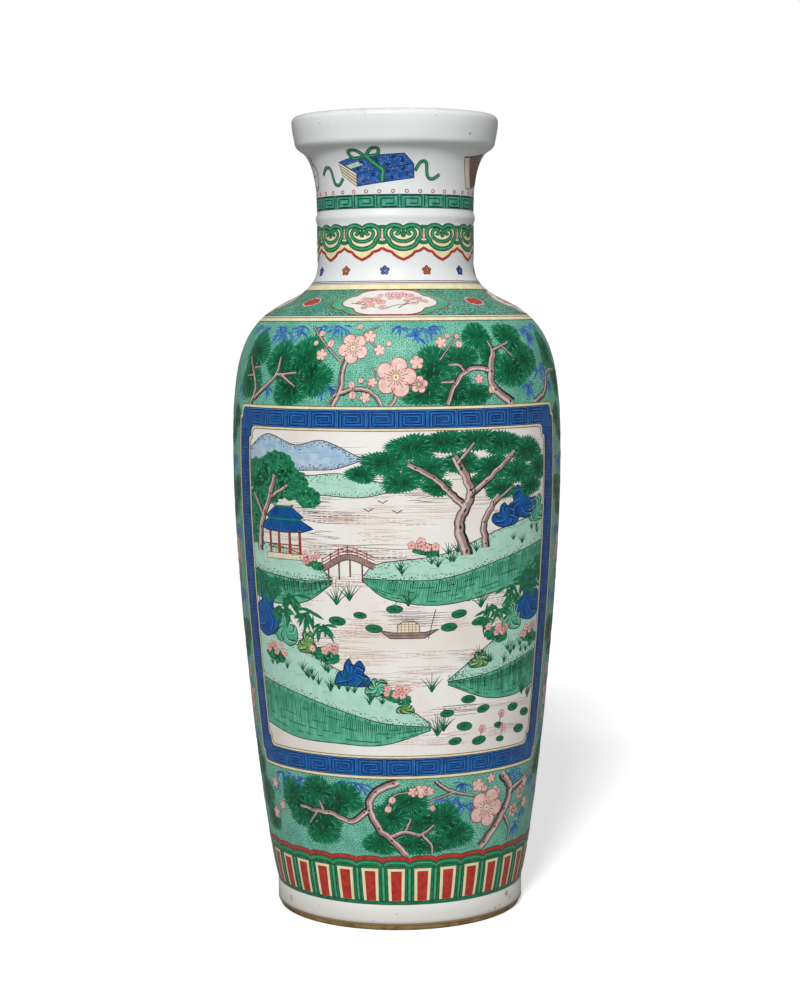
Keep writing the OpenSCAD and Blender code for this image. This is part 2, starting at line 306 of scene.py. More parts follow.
def enamel(name, thin, pooled, blotch=5.0):
    """Overglaze enamel: thin and pooled patches of one colour, fine pits and a wavy gloss."""
    finish = Finish(name)
    patches = finish.noise(blotch, 3.0).step(0.34, 0.68)
    grain = finish.noise(0.9, 1.0).step(0.2, 0.8)
    wires = {
        "Base Color": finish.blend(patches * 0.75 + grain * 0.25, srgb(*thin), srgb(*pooled)),
        "Roughness": patches * 0.08 + 0.28,
        "Normal": finish.bump(finish.noise(3.0, 2.0) + grain * 0.15, 0.03),
    }
    return finish.end(GLOSS, wires)


def line_enamel(name, colour, faded):
    """Drawn line colour, thin in places where the brush ran dry."""
    finish = Finish(name)
    dry = finish.noise(2.2, 3.0).step(0.42, 0.75)
    wires = {
        "Base Color": finish.blend(dry, srgb(*colour), srgb(*faded)),
        "Roughness": dry * 0.12 + 0.3,
    }
    return finish.end(GLOSS, wires)


def stippled_enamel(name, thin, pooled, dot_colour, pitch, dot_size):
    """Green ground with close dark dots, each a fraction of a millimetre across."""
    finish = Finish(name)
    patches = finish.noise(9.0, 3.0).step(0.32, 0.7)
    ground = finish.blend(patches, srgb(*thin), srgb(*pooled))
    flat = finish.add("UVMap", {"uv_map": "flat"}, {})
    sockets = {"Vector": flat, "Scale": 1 / (pitch * MM), "Randomness": 0.68}
    reach = finish.add("TexVoronoi", {"voronoi_dimensions": "2D"}, sockets)
    worn = finish.noise(4.0, 2.0) * 0.12
    dots = (reach + worn).step(dot_size + 0.1, dot_size - 0.06)
    wires = {
        "Base Color": finish.blend(dots * 0.88, ground, srgb(*dot_colour)),
        "Roughness": patches * 0.08 + 0.28,
        "Normal": finish.bump(finish.noise(3.0, 2.0), 0.03),
    }
    return finish.end(GLOSS, wires)


# Stains and specks in the glaze, as degrees, height, size and strength
STAINS = (
    (-60.8, 8.9, 2.6, 0.55), (58.5, 11.6, 2.4, 0.85), (62, 8.5, 2.0, 0.4), (49.0, 5.8, 1.6, 0.6),
    (45.0, 5.4, 1.1, 0.5), (53.0, 6.4, 1.2, 0.5), (-39.6, 10.5, 0.7, 0.5), (133, 9, 2.4, 0.6),
    (-12, 4.6, 1.3, 0.5),
)
SPECKS = (
    (-45.6, 448.2, 0.55, 0.8), (-38.8, 446.6, 0.4, 0.7), (46.3, 442.3, 0.75, 0.9),
    (-1.5, 9.6, 0.5, 0.6), (22.4, 451.1, 0.5, 0.5),
)


def marks(finish, places):
    """A mask of soft round marks on the wall."""
    mask = 0.0
    spot = finish.place()
    for degrees, height, size, strength in places:
        radius = wall.point_at(wall.length_at(height)).x
        middle = Vector((radius * sin(radians(degrees)), -radius * cos(radians(degrees)), height)) * MM
        away = finish.add("VectorMath", {"operation": "DISTANCE"}, {0: spot, 1: middle}, "Value")
        mask = away.step(1.2 * size * MM, 0.3 * size * MM) * strength + mask
    return mask


def white_glaze():
    """Cool white glaze with dark kiln specks, a grey worn edge at the lip, stains at the foot and painted
    shade near the foot.
    """
    finish = Finish("white_glaze")
    clouds = finish.noise(30.0, 3.0).step(0.3, 0.72)
    white = finish.blend(clouds, srgb(231, 233, 233), srgb(224, 227, 227))
    height = finish.add("SeparateXYZ", {}, {"Vector": finish.place()}, "Z")
    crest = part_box("outer_glaze")[1][2]
    wear_patches = finish.noise(4.0, 4.0).step(0.42, 0.66)
    lip_wear = height.step(crest - 2.6 * MM, crest - 0.2 * MM) * wear_patches
    # Painted shade: the glaze greys towards the foot, from 22 mm above the table down to 6 mm.
    painted_shade_low = finish.blend(height.step(22 * MM, 6 * MM) * 0.8, white, srgb(206, 202, 193))
    rim = wall.points[0].y
    # Painted shade: a grey-lilac band over the rounded edge just above the burnt foot rim.
    painted_edge_shade = finish.blend(height.step((rim + 3.4) * MM, (rim + 1.2) * MM) * 0.4, painted_shade_low, srgb(150, 144, 146))
    burnt = finish.blend(height.step((rim + 1.5) * MM, (rim + 1.1) * MM) * 0.9, painted_edge_shade, srgb(126, 100, 64))
    rubbed = finish.blend(lip_wear * 0.5, burnt, srgb(186, 176, 158))
    stain = marks(finish, STAINS) * (finish.noise(2.4, 3.0).step(0.3, 0.7) * 0.7 + 0.3)
    stained = finish.blend(stain, rubbed, srgb(132, 114, 82))
    sockets = {"Vector": finish.place(), "Scale": 1 / (16 * MM)}
    reach = finish.add("TexVoronoi", {}, sockets)
    cell = finish.add("TexVoronoi", {}, sockets, "Color")
    rare = finish.add("SeparateColor", {}, {"Color": cell}).step(0.84, 0.86)
    specks = reach.step(0.03, 0.015) * rare * 0.6 + marks(finish, SPECKS)
    wires = {
        "Base Color": finish.blend(specks, stained, srgb(74, 70, 66)),
        "Roughness": lip_wear * 0.3 + 0.2,
        "Normal": finish.bump(finish.noise(7.0, 2.0), 0.04),
    }
    return finish.end(GLOSS, wires)


def bare_clay(name, pale, burnt, grit_colour):
    """Unglazed fired clay, burnt brown in patches, with dark grit."""
    finish = Finish(name)
    patches = finish.noise(6.0, 4.0).step(0.3, 0.7)
    grit = finish.noise(0.7, 2.0).step(0.62, 0.72)
    ground = finish.blend(patches, srgb(*pale), srgb(*burnt))
    wires = {
        "Base Color": finish.blend(grit * 0.6, ground, srgb(*grit_colour)),
        "Roughness": patches * 0.15 + 0.55,
        "Normal": finish.bump(finish.noise(0.8, 4.0), 0.08),
    }
    return finish.end({"Specular IOR Level": 0.3}, wires)


GLAZE = white_glaze()
CLAY = bare_clay("fired_clay", (226, 219, 206), (208, 196, 176), (150, 134, 112))
SLIP = bare_clay("fired_slip", (214, 203, 186), (196, 182, 160), (140, 122, 100))
BEVEL = bare_clay("burnt_foot_edge", (150, 124, 78), (112, 88, 50), (70, 54, 34))
MINT = stippled_enamel(
    "mint_stipple", (124, 196, 174), (98, 176, 150), (6, 72, 56), 1.27, 0.29)
BAND_GREEN = stippled_enamel(
    "band_stipple", (112, 184, 158), (82, 158, 132), (10, 58, 48), 1.5, 0.38)
LEAF = enamel("leaf_green", (38, 138, 92), (12, 102, 64), 2.6)
PALE_LEAF = enamel("leaf_green_thin", (92, 178, 140), (56, 156, 112))
PINE = enamel("pine_green", (22, 126, 84), (6, 98, 62))
NEEDLE = enamel("needle_green", (4, 72, 46), (2, 54, 34))
FRET_DARK = enamel("fret_dark_green", (10, 58, 46), (6, 40, 32))
FRET_GREEN = enamel("fret_green", (88, 172, 146), (40, 136, 110), 3.0)
BANK = enamel("bank_green", (184, 222, 206), (166, 212, 193))
CLIFF = enamel("cliff_green", (104, 186, 156), (62, 156, 122))
MOSS = enamel("moss_green", (120, 160, 82), (84, 134, 62))
BLUE = enamel("frame_blue", (10, 96, 165), (4, 68, 137))
DEEP_BLUE = enamel("fret_blue", (8, 36, 92), (4, 26, 74))
BAMBOO = enamel("bamboo_blue", (94, 150, 202), (44, 104, 176), 3.0)
BOOK_BLUE = enamel("book_blue", (56, 106, 178), (28, 76, 150), 2.5)
YELLOW = enamel("pale_yellow", (240, 233, 196), (228, 216, 164))
RED = enamel("iron_red", (196, 64, 50), (160, 44, 36), 3.0)
ORANGE = enamel("orange_red", (204, 104, 58), (172, 76, 42))
PINK = enamel("blossom_pink", (238, 204, 194), (220, 172, 162), 3.0)
BARK = enamel("bark_brown", (172, 142, 134), (140, 110, 102))
PALE_BARK = enamel("bark_light", (218, 200, 192), (198, 174, 166))
CREAM = enamel("paper_cream", (240, 228, 206), (226, 208, 180))
WHITE = enamel("white_ground", (236, 233, 228), (229, 225, 219))
ROSE = enamel("rose_pink", (240, 196, 190), (224, 158, 152))
WASH = enamel("panel_wash", (240, 238, 234), (230, 221, 212), 40.0)
HAZE = enamel("far_hill_blue", (186, 206, 222), (150, 182, 210))
DARK = line_enamel("drawn_dark", (34, 34, 34), (62, 56, 52))
BROWN = line_enamel("drawn_brown", (88, 62, 50), (124, 96, 80))
RED_LINE = line_enamel("drawn_red", (140, 48, 44), (178, 92, 82))
PALE_LINE = line_enamel("drawn_pale_brown", (188, 160, 142), (216, 198, 184))


# Pieces

def finished_piece(name, mesh, finishes, replaced):
    """Makes an object of a bmesh, smooth, riding on the vase and standing for the nodes it replaces."""
    for face in mesh.faces:
        face.smooth = True
    data = bpy.data.meshes.new(name)
    mesh.to_mesh(data)
    mesh.free()
    for finish in finishes:
        data.materials.append(finish)
    piece = bpy.data.objects.new(name, data)
    bpy.context.scene.collection.objects.link(piece)
    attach(piece, "root")
    if replaced:
        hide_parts(*replaced)


def turn(name, rows, finish, slot, *replaced):
    """Spins a line of (radius, height) points, in millimetres, into a piece that replaces CAD nodes."""
    mesh = bmesh.new()
    corners = [mesh.verts.new((radius * MM, 0, height * MM)) for radius, height in rows]
    edges = [mesh.edges.new(pair) for pair in zip(corners, corners[1:])]
    bmesh.ops.spin(
        mesh, geom=corners + edges, cent=(0, 0, 0), axis=(0, 0, 1), dvec=(0, 0, 0),
        angle=tau, steps=LATHE_STEPS, use_merge=True,
    )
    bmesh.ops.remove_doubles(mesh, verts=mesh.verts, dist=1e-6)
    bmesh.ops.recalc_face_normals(mesh, faces=mesh.faces)
    finished_piece(name, mesh, [finish], replaced)


def make_ware():
    """The glaze over the whole ware, the bare foot ring and the glazed base."""
    inside = eased(turned_rows("inner_glaze", -1), INSIDE_STEP)
    skin = wall.points + inside[::-1][1:] + [Vector((0.0, inside[0].y))]
    turn("glaze_skin", skin, GLAZE, "white_glaze", "outer_glaze", "inner_glaze")
    bevel_top = wall.points[0].y
    bevel = [point for point in turned_rows("foot_ring", 1) if point.y <= bevel_top + 0.01]
    recess_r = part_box("base_glaze")[1][0] / MM
    base_low, base_high = node_heights("base_glaze")
    hidden_r = bevel[-1].x - 4.0
    ring = [(recess_r, base_high), (recess_r, 0.4), (recess_r + 0.4, 0.0)]
    ring += [(bevel[0].x - 0.3, 0.0), (bevel[0].x, 0.2)] + bevel[1:]
    ring += [(hidden_r, bevel_top), (hidden_r, base_high)]
    turn("foot_edge", ring, BEVEL, "porcelain", "foot_ring")
    underside = [(0.0, base_low), (recess_r - 1.2, base_low), (recess_r, base_low - 0.5)]
    underside += [(recess_r, base_high), (0.0, base_high)]
    turn("base_skin", underside, GLAZE, "white_glaze", "base_glaze")
    for part in frame["record"]["subparts"]:
        materials = frame["nodes"][part["node"]].data.materials
        if part["material_slot"] == "porcelain":
            materials.clear()
            materials.append(CLAY)
        if part["material_slot"] == "luting_slip":
            materials.clear()
            materials.append(SLIP)


# Drawn enamel

class Drawing:
    """One piece of drawn enamel, on a flat sheet that is true to size at one height of the vase.

    What is drawn after a call of above() lies over all that was drawn before it. turn and flip move
    what is drawn to the other side of the vase."""

    def __init__(self, name, height, level=DRAWN, step=LAYER):
        self.name = name
        self.step = step
        self.ring = wall.point_at(wall.length_at(height)).x
        self.start = level
        self.level = level
        self.turn = 0.0
        self.flip = 1
        self.finishes = []
        self.whole = bmesh.new()
        self.fine = bmesh.new()
        self.broad = bmesh.new()

    def above(self):
        self.level += self.step

    def layer(self, count):
        """Goes to a number of layers over the first one."""
        self.level = self.start + count * self.step

    def spot(self, degrees, height):
        return Vector((radians(self.flip * degrees + self.turn) * self.ring, wall.length_at(height)))

    def spots(self, places):
        return [self.spot(degrees, height) for degrees, height in places]

    def near(self, middle, points):
        """Points given in millimetres right of and above a middle."""
        return [middle + Vector((self.flip * x, y)) for x, y in points]

    def colour(self, verts, finish):
        if finish not in self.finishes:
            self.finishes.append(finish)
        index = self.finishes.index(finish)
        for vert in verts:
            vert.co.z = self.level
            for face in vert.link_faces:
                face.material_index = index
        if len(self.fine.verts) + len(self.broad.verts) > CEL_LIMIT:
            self.lay()

    def shape(self, rim, finish, cel=None):
        """A patch of enamel inside a ring of points, as one face."""
        cel = cel or self.fine
        face = cel.faces.new([cel.verts.new((*point, 0)) for point in rim])
        self.colour(face.verts[:], finish)

    def wash(self, rim, finish):
        """A patch that bends with the wall: cut up later if it is broad, or a fan round its middle."""
        rim = [Vector(point) for point in rim]
        middle = sum(rim, Vector((0, 0))) / len(rim)
        if max((point - middle).length for point in rim) > PATCH:
            self.shape(rim, finish, self.broad)
            return
        made = bmesh.ops.create_circle(self.fine, cap_ends=True, cap_tris=True, segments=len(rim), radius=1)
        for vert, point in zip(made["verts"], [middle] + rim):
            vert.co.xy = point
        self.colour(made["verts"], finish)

    def dot(self, middle, radius, finish):
        self.shape(oval(middle, radius, radius, count=5), finish)

    def needle(self, start, end, width, finish):
        """A short stroke that ends in a point."""
        run = end - start
        across = Vector((-run.y, run.x)).normalized() * (width / 2)
        self.shape([start - across, end, start + across], finish)

    def band(self, low, high, finish, rows=1):
        """A strip of enamel between two edge lines with the same number of points."""
        made = bmesh.ops.create_grid(self.fine, x_segments=len(low) - 1, y_segments=rows, size=1)["verts"]
        for k, vert in enumerate(made):
            row, column = divmod(k, len(low))
            vert.co.xy = low[column].lerp(high[column], row / rows)
        if (low[0] - low[-1]).length < 1e-6:
            ends = [vert for k, vert in enumerate(made) if k % len(low) in (0, len(low) - 1)]
            inner = [vert for k, vert in enumerate(made) if k % len(low) != len(low) - 1]
            bmesh.ops.remove_doubles(self.fine, verts=ends, dist=1e-5)
            made = [vert for vert in inner if vert.is_valid] + [vert for vert in ends if vert.is_valid]
        self.colour(made, finish)

    def stroke(self, path, width, finish, end_width=None, swell=0.0, aside=0.0):
        """A brush stroke along a path, from one width to another. It may swell, or run beside the path."""
        last = len(path) - 1
        end_width = width if end_width is None else end_width
        right, left = [], []
        for k, point in enumerate(path):
            run = path[min(k + 1, last)] - path[max(k - 1, 0)]
            across = Vector((-run.y, run.x)).normalized()
            half = (width + (end_width - width) * k / last + swell * sin(pi * k / last)) / 2
            right.append(point + across * (aside - half))
            left.append(point + across * (aside + half))
        self.band(right, left, finish)

    def edge(self, rim, width, finish):
        """A line round a closed ring of points."""
        around = rim + rim[:2]
        right, left = [], []
        for before, point, after in zip([rim[-1]] + rim, around, around[1:]):
            across = Vector((before.y - after.y, after.x - before.x)).normalized() * (width / 2)
            right.append(point - across)
            left.append(point + across)
        self.band(right, left, finish)

    def lay(self):
        """Thickens what is drawn so far and lays it on the vase."""
        for cel in (self.fine, self.broad):
            if cel is self.broad:
                cut_up(cel)
            if cel.faces:
                self.lay_cel(cel)
            cel.clear()

    def lay_cel(self, cel):
        top = bmesh.ops.extrude_face_region(cel, geom=cel.faces[:])["geom"]
        raised = {part for part in top if isinstance(part, bmesh.types.BMVert)}
        for vert in cel.verts:
            if vert not in raised:
                vert.co.z = SUNK
        bmesh.ops.recalc_face_normals(cel, faces=cel.faces)
        for edge in cel.edges:
            if edge.calc_face_angle(0) > CREASE:
                edge.smooth = False
        flat = cel.loops.layers.uv.new("flat")
        bake = cel.loops.layers.uv.new("OFBake")
        margin = Vector((BAKE_MARGIN, BAKE_MARGIN))
        for face in cel.faces:
            row, column = divmod(face.material_index, BAKE_ROWS)
            for loop in face.loops:
                x, y = loop.vert.co.xy
                loop[flat].uv = (x * MM, y * MM)
                share = Vector((x / (tau * self.ring) % 1, y / wall.lengths[-1]))
                loop[bake].uv = (Vector((column, row)) + share * (1 - 2 * BAKE_MARGIN) + margin) / BAKE_ROWS
        rows = {}
        for vert in cel.verts:
            length = round(vert.co.y, 2)
            if length not in rows:
                rows[length] = (wall.point_at(length), wall.out_at(length))
            point = rows[length][0] + rows[length][1] * vert.co.z
            angle = vert.co.x / self.ring
            vert.co = Vector((point.x * sin(angle), -point.x * cos(angle), point.y)) * MM
        data = bpy.data.meshes.new("cel")
        cel.to_mesh(data)
        self.whole.from_mesh(data)
        bpy.data.meshes.remove(data)

    def done(self, slot, *replaced, merge=False):
        self.lay()
        if merge:
            bmesh.ops.remove_doubles(self.whole, verts=self.whole.verts, dist=2e-7)
        if len(self.finishes) == 1:
            maps = self.whole.loops.layers.uv
            maps.remove(maps["OFBake"])
        finished_piece(self.name, self.whole, self.finishes, replaced)


def cut_up(cel):
    """Cuts flat patches along lines that lie a patch's size apart."""
    if not cel.verts:
        return
    for axis in (0, 1):
        places = [vert.co[axis] for vert in cel.verts]
        across = Vector((1, 0, 0)) if axis == 0 else Vector((0, 1, 0))
        for k in range(ceil(min(places) / PATCH), floor(max(places) / PATCH) + 1):
            geom = cel.verts[:] + cel.edges[:] + cel.faces[:]
            bmesh.ops.bisect_plane(cel, geom=geom, dist=1e-4, plane_co=across * (k * PATCH), plane_no=across)


def round_band(drawing, low, high, finish, half_deg=180.0):
    """An even band of enamel between two heights, all the way round or to half_deg each way."""
    count = ceil(half_deg)
    angles = [2 * half_deg * k / count - half_deg for k in range(count + 1)]
    bottom = drawing.spots([(angle, low) for angle in angles])
    top = drawing.spots([(angle, high) for angle in angles])
    drawing.band(bottom, top, finish, ceil((top[0] - bottom[0]).length / BAND_ROW))


# Blossoms under the first radius are buds, and those over the second have stamens
BUD_RADIUS = 2.6
STAMEN_RADIUS = 4
STAMENS = 15


def blossom(drawing, middle, radius, start):
    """A prunus blossom from the front, or a bud with its calyx where it is small."""
    drawing.above()
    line = 0.2 + 0.016 * radius
    if radius < BUD_RADIUS:
        bud = oval(middle, 0.85 * radius, radius, start + 1, 10)
        drawing.wash(bud, PINK)
        drawing.above()
        drawing.edge(bud, line, RED_LINE)
        fold = [polar(middle, 0.9 * radius, start + 1), middle, polar(middle, 0.7 * radius, start - 1.6)]
        drawing.stroke(smooth_path(fold, 0.6), line, RED_LINE)
        drawing.dot(polar(middle, 0.95 * radius, start + 1 + pi), 0.3 * radius, BROWN)
        return
    angles = [start + tau * k / 5 for k in range(5)]
    for angle in angles:
        petal = oval(polar(middle, 0.6 * radius, angle), 0.43 * radius, 0.42 * radius, angle, 16)
        drawing.wash(petal, PINK)
    drawing.wash(oval(middle, 0.36 * radius, 0.36 * radius, count=10), PINK)
    drawing.above()
    for angle in angles:
        hub = polar(middle, 0.6 * radius, angle)
        rim = [polar(hub, 0.43 * radius, angle + radians(spread)) for spread in range(-120, 121, 20)]
        drawing.stroke(rim, line, RED_LINE)
    if radius > STAMEN_RADIUS:
        for k in range(STAMENS):
            angle = start + tau * (k + 0.5) / STAMENS
            tip = polar(middle, radius * (0.4 if k % 3 else 0.58), angle)
            drawing.stroke(straight_path([polar(middle, 0.1 * radius, angle), tip]), 0.3, BROWN)
            drawing.dot(tip, 0.36, BROWN)
    drawing.above()
    drawing.wash(oval(middle, 0.16 * radius, 0.16 * radius, count=8), YELLOW)
    drawing.above()
    drawing.dot(middle, 0.07 * radius, ORANGE)


# Needles are straight, so they lie this many layers over the wash to clear its curve
NEEDLE_LAYERS = 6


def pines(drawing, clumps, dice):
    """Clumps of pine as (degrees, height, half width, half height), with needles from their middles."""
    drawing.above()
    places = [(drawing.spot(degrees, height), wide, tall) for degrees, height, wide, tall in clumps]
    for middle, wide, tall in places:
        count = 2 * round((wide + tall) * 1.9)
        lean = dice.uniform(0, tau)
        rim = []
        for k in range(count):
            angle = tau * k / count
            reach = (1.05 if k % 2 else 0.86) * dice.uniform(0.94, 1.05) * (1 + 0.1 * sin(3 * angle + lean))
            rim.append(middle + swing(wide, tall, angle) * reach)
        drawing.wash(rim, PINE)
    drawing.level += NEEDLE_LAYERS * drawing.step
    for middle, wide, tall in places:
        count = round((wide + tall) * 4.6)
        for k in range(count):
            angle = tau * k / count + dice.uniform(-0.05, 0.05)
            start = (0.1, 0.5, 0.3, 0.62)[k % 4] + dice.uniform(-0.08, 0.08)
            end = start + dice.uniform(0.3, 0.44)
            run = swing(wide, tall, angle)
            finish = FRET_GREEN if k % 8 == 3 else NEEDLE
            drawing.needle(middle + run * start, middle + run * min(end, 1.0), 0.5, finish)


def branches(drawing, limbs, dice):
    """Gnarled branches as (width at the start, width at the end, places), dark on one side."""
    paths = []
    for start, end, places in limbs:
        start, end = 1.25 * start, 1.2 * end
        path = smooth_path(drawing.spots(places), 2.2)
        for point in path[1:-1:2]:
            point += Vector((dice.uniform(-1, 1), dice.uniform(-1, 1))) * (0.1 * start + 0.12)
        paths.append((start, end, smooth_path(path, 1.3)))
    drawing.above()
    for start, end, path in paths:
        drawing.stroke(path, start + 0.9, DARK, end + 0.5)
    drawing.above()
    for start, end, path in paths:
        drawing.stroke(path, start, BARK, end)
    drawing.above()
    for start, end, path in paths:
        drawing.stroke(path, 0.32 * start, PALE_BARK, 0.3 * end, aside=0.18 * start)
        if start > 1.8:
            drawing.stroke(path, 0.2 * start, DARK, 0.16 * end, aside=-0.38 * start)
            for point in path[2:-2:9]:
                drawing.wash(oval(point, 0.12 * start, 0.2 * start, dice.uniform(0, pi), 8), DARK)


def leaf_spray(drawing, middle, size, dice, leaf=BAMBOO, vein=DEEP_BLUE, count=13):
    """Drooping pointed leaves on short stems."""
    paths = []
    for k in range(count):
        heading = radians(-178 + 176 * (k + dice.uniform(0.1, 0.9)) / count)
        start = polar(middle, dice.uniform(0.05, 0.5) * size, dice.uniform(pi, tau))
        tip = polar(start, size * dice.uniform(0.55, 0.95), heading)
        bend = (start + tip) / 2 + Vector((0, 0.04 * size))
        paths.append(smooth_path([start, bend, tip], size / 5))
    drawing.above()
    for path in paths:
        drawing.stroke(path, 0.15, leaf, 0.1, swell=0.15 * size)
    drawing.above()
    for path in paths:
        drawing.stroke(path, 0.2, vein, 0.14)


# Square spirals in a unit square, with one turn and with two
KEY = (
    (0.06, 0.08), (0.06, 0.92), (0.94, 0.92), (0.94, 0.08), (0.23, 0.08), (0.23, 0.7), (0.77, 0.7),
    (0.77, 0.32), (0.42, 0.32),
)
CLOSE_KEY = (
    (0.06, 0.07), (0.06, 0.93), (0.94, 0.93), (0.94, 0.07), (0.17, 0.07), (0.17, 0.77), (0.82, 0.77),
    (0.82, 0.25), (0.29, 0.25), (0.29, 0.6), (0.69, 0.6), (0.69, 0.42), (0.42, 0.42),
)


def key_fret(drawing, angles, heights, columns, rows, finish, width, light=None, key=KEY):
    """Square spirals in a field between two angles and two heights, with light lines beside them."""
    drawing.above()
    for column in range(columns):
        for row in range(rows):
            places = []
            for x, y in key:
                across = angles[0] + (angles[1] - angles[0]) * (column + x) / columns
                up = heights[0] + (heights[1] - heights[0]) * (row + y) / rows
                places.append((across, up))
            path = straight_path(drawing.spots(places))
            drawing.stroke(path, width, finish)
            if light:
                drawing.stroke(path, 0.5 * width, light, aside=0.85 * width)


# Painted fields, from the foot up

LAPPETS = 32
# Bars of the lappets: half widths at the bottom and at the top, and heights over the foot
YELLOW_BAR = (4.6, 4.9, 2.5, 22.3)
RED_BAR = (2.6, 2.9, 2.6, 20.4)


def make_lappets():
    """Red bars in yellow frames, with green ribs between them, arches over them and a waved red edge."""
    low, high = node_heights("lappet_enamel")
    drawing = Drawing("lappets", (low + high) / 2, GROUND, 0.025)
    half = pi * drawing.ring / LAPPETS
    feet = [drawing.spot(360 * k / LAPPETS - 1.5, low) for k in range(LAPPETS)]
    round_band(drawing, low, high, LEAF)
    drawing.layer(1)
    for height in (low + 0.2, low + 2.2):
        round_band(drawing, height - 0.17, height + 0.17, DARK)
    for foot in feet:
        drawing.band(*bar(foot, *YELLOW_BAR), YELLOW, 6)
        rib = drawing.near(foot + Vector((half, 0)), [(0, 2.6), (0, 22.6)])
        drawing.stroke(straight_path(rib), 1.0, PALE_LEAF)
    drawing.layer(2)
    for foot in feet:
        drawing.band(*bar(foot, *RED_BAR), RED, 4)
        drawing.stroke(straight_path(drawing.near(foot, bar_line(*YELLOW_BAR))), FINE, DARK)
        for side in (-1, 1):
            groove = [(side * (half - 1.1), 2.4), (side * (half - 1.1), 22.8)]
            drawing.stroke(straight_path(drawing.near(foot, groove)), FINE, DARK)
    rise = [(-half, 25.4), (-0.75 * half, 26.6), (-0.4 * half, 27.1)]
    arch = rise + [(-x, y) for x, y in rise[::-1]]
    drawing.layer(3)
    edge = []
    for foot in feet:
        drawing.stroke(straight_path(drawing.near(foot, bar_line(*RED_BAR))), HAIR, RED_LINE)
        edge += smooth_path(drawing.near(foot, arch), 1.6)[:-1]
    edge.append(edge[0] + Vector((tau * drawing.ring, 0)))
    drawing.stroke(edge, 3.8, DARK, aside=-1.6)
    drawing.layer(4)
    drawing.stroke(edge, 3.2, LEAF, aside=-1.5)
    drawing.layer(5)
    drawing.stroke(edge, 0.55, PALE_LEAF, aside=-1.5)
    drawing.stroke(edge, 2.8, DARK, aside=1.2)
    drawing.layer(6)
    drawing.stroke(edge, 2.1, RED, aside=1.25)
    drawing.done("leaf_green_enamel", "lappet_enamel")


def bar(foot, low_half, high_half, low, high):
    """The right and left edges of an upright bar over a point."""
    right = straight_path([foot + Vector((low_half, low)), foot + Vector((high_half, high))])
    left = straight_path([foot + Vector((-low_half, low)), foot + Vector((-high_half, high))])
    return right, left


def bar_line(low_half, high_half, low, high):
    """The sides and the top of an upright bar, as points from its foot."""
    return [(-low_half, low), (-high_half, high), (high_half, high), (low_half, low)]


def make_frieze_ground():
    low, high = node_heights("frieze_enamel")
    drawing = Drawing("frieze_ground", (low + high) / 2, GROUND)
    round_band(drawing, low, high, MINT)
    drawing.done("mint_green_enamel", "frieze_enamel", merge=True)


LOWER_LIMBS = (
    (3.4, 2.8, ((-0.4, 87.3), (-9.2, 81), (-11.8, 72), (-8.3, 60), (-3.7, 54), (3.2, 44.2))),
    (2.8, 1.0, ((-12.7, 70.3), (-19.4, 63.5), (-27.9, 67.2), (-33.8, 67.4), (-43.7, 69))),
    (1.3, 0.6, ((-31.6, 68), (-33.3, 73.6))),
    (1.3, 0.6, ((-34.9, 67.3), (-39.4, 59.4))),
    (2.2, 1.0, ((-3.3, 55.3), (2.2, 57.8), (9, 56.2), (14, 61.3))),
    (1.3, 0.6, ((2.2, 57.8), (4.6, 65.7))),
    (1.5, 0.7, ((9, 56.2), (13.1, 49.7), (13.3, 44.6))),
    (4.0, 4.6, ((44.4, 86.6), (50.2, 74.6), (45.2, 59.9), (35.6, 45.4))),
    (2.6, 1.6, ((50.3, 74), (53.8, 76.7), (64.3, 81.7), (69, 87))),
    (1.8, 0.8, ((48.2, 60.8), (52.7, 51.6), (52.1, 45.4))),
    (1.5, 0.7, ((14.1, 87), (19.4, 80.9), (31.3, 76))),
    (0.9, 0.5, ((22.5, 80), (10.7, 75.1))),
    (0.7, 0.4, ((-4.4, 71.5), (-2.6, 78.5), (2, 80.5), (8.5, 81.5))),
    (0.7, 0.4, ((48, 68), (54, 64), (63, 66))),
)
LOWER_CLUMPS = (
    (-47, 74, 11, 10), (-34, 79.5, 12, 8), (-23, 76.5, 13, 9), (-41, 65.5, 13, 11), (-31, 66, 13, 10),
    (-33, 57.5, 12, 10.5), (3.4, 75, 12.5, 9), (-3.5, 66.5, 11, 9), (-8, 51.5, 10, 7.5),
    (5, 50.5, 12, 6.5), (8, 63, 10, 8), (17, 65, 12.5, 9), (22.5, 55, 13, 9.5), (13, 50, 10, 6),
    (-26, 71, 9, 7), (-70, 70, 10, 10), (-66, 56, 10, 8),
)
LOWER_BLOSSOMS = (
    (37.4, 68, 11), (8.5, 81.3, 3.8), (5.3, 81, 2.8), (-2.8, 76.4, 2.2), (-4.4, 71.2, 2.2),
    (11.7, 81.1, 2.6), (32.4, 81.9, 3.8), (38.6, 84.8, 2.8), (54, 62.4, 4.2), (63.3, 65, 3.6),
    (13.2, 71.2, 1.8), (41, 75.6, 4.4), (58, 72, 4.2), (61, 77.5, 3), (35.5, 79.5, 2.2), (-60, 78, 3.4),
    (-56, 66, 2.8), (-62, 60, 3.6),
)
LOWER_BAMBOO = (
    (-52.7, 86.5, 9), (-43, 86.5, 10), (-38, 85, 8), (-16.4, 86.5, 9), (-23, 86.5, 7), (20.6, 78, 10),
    (28.4, 73, 9), (25, 85, 7), (53, 87, 9), (57, 55, 9), (61, 62, 8), (67, 80, 9), (-60, 80, 8),
)

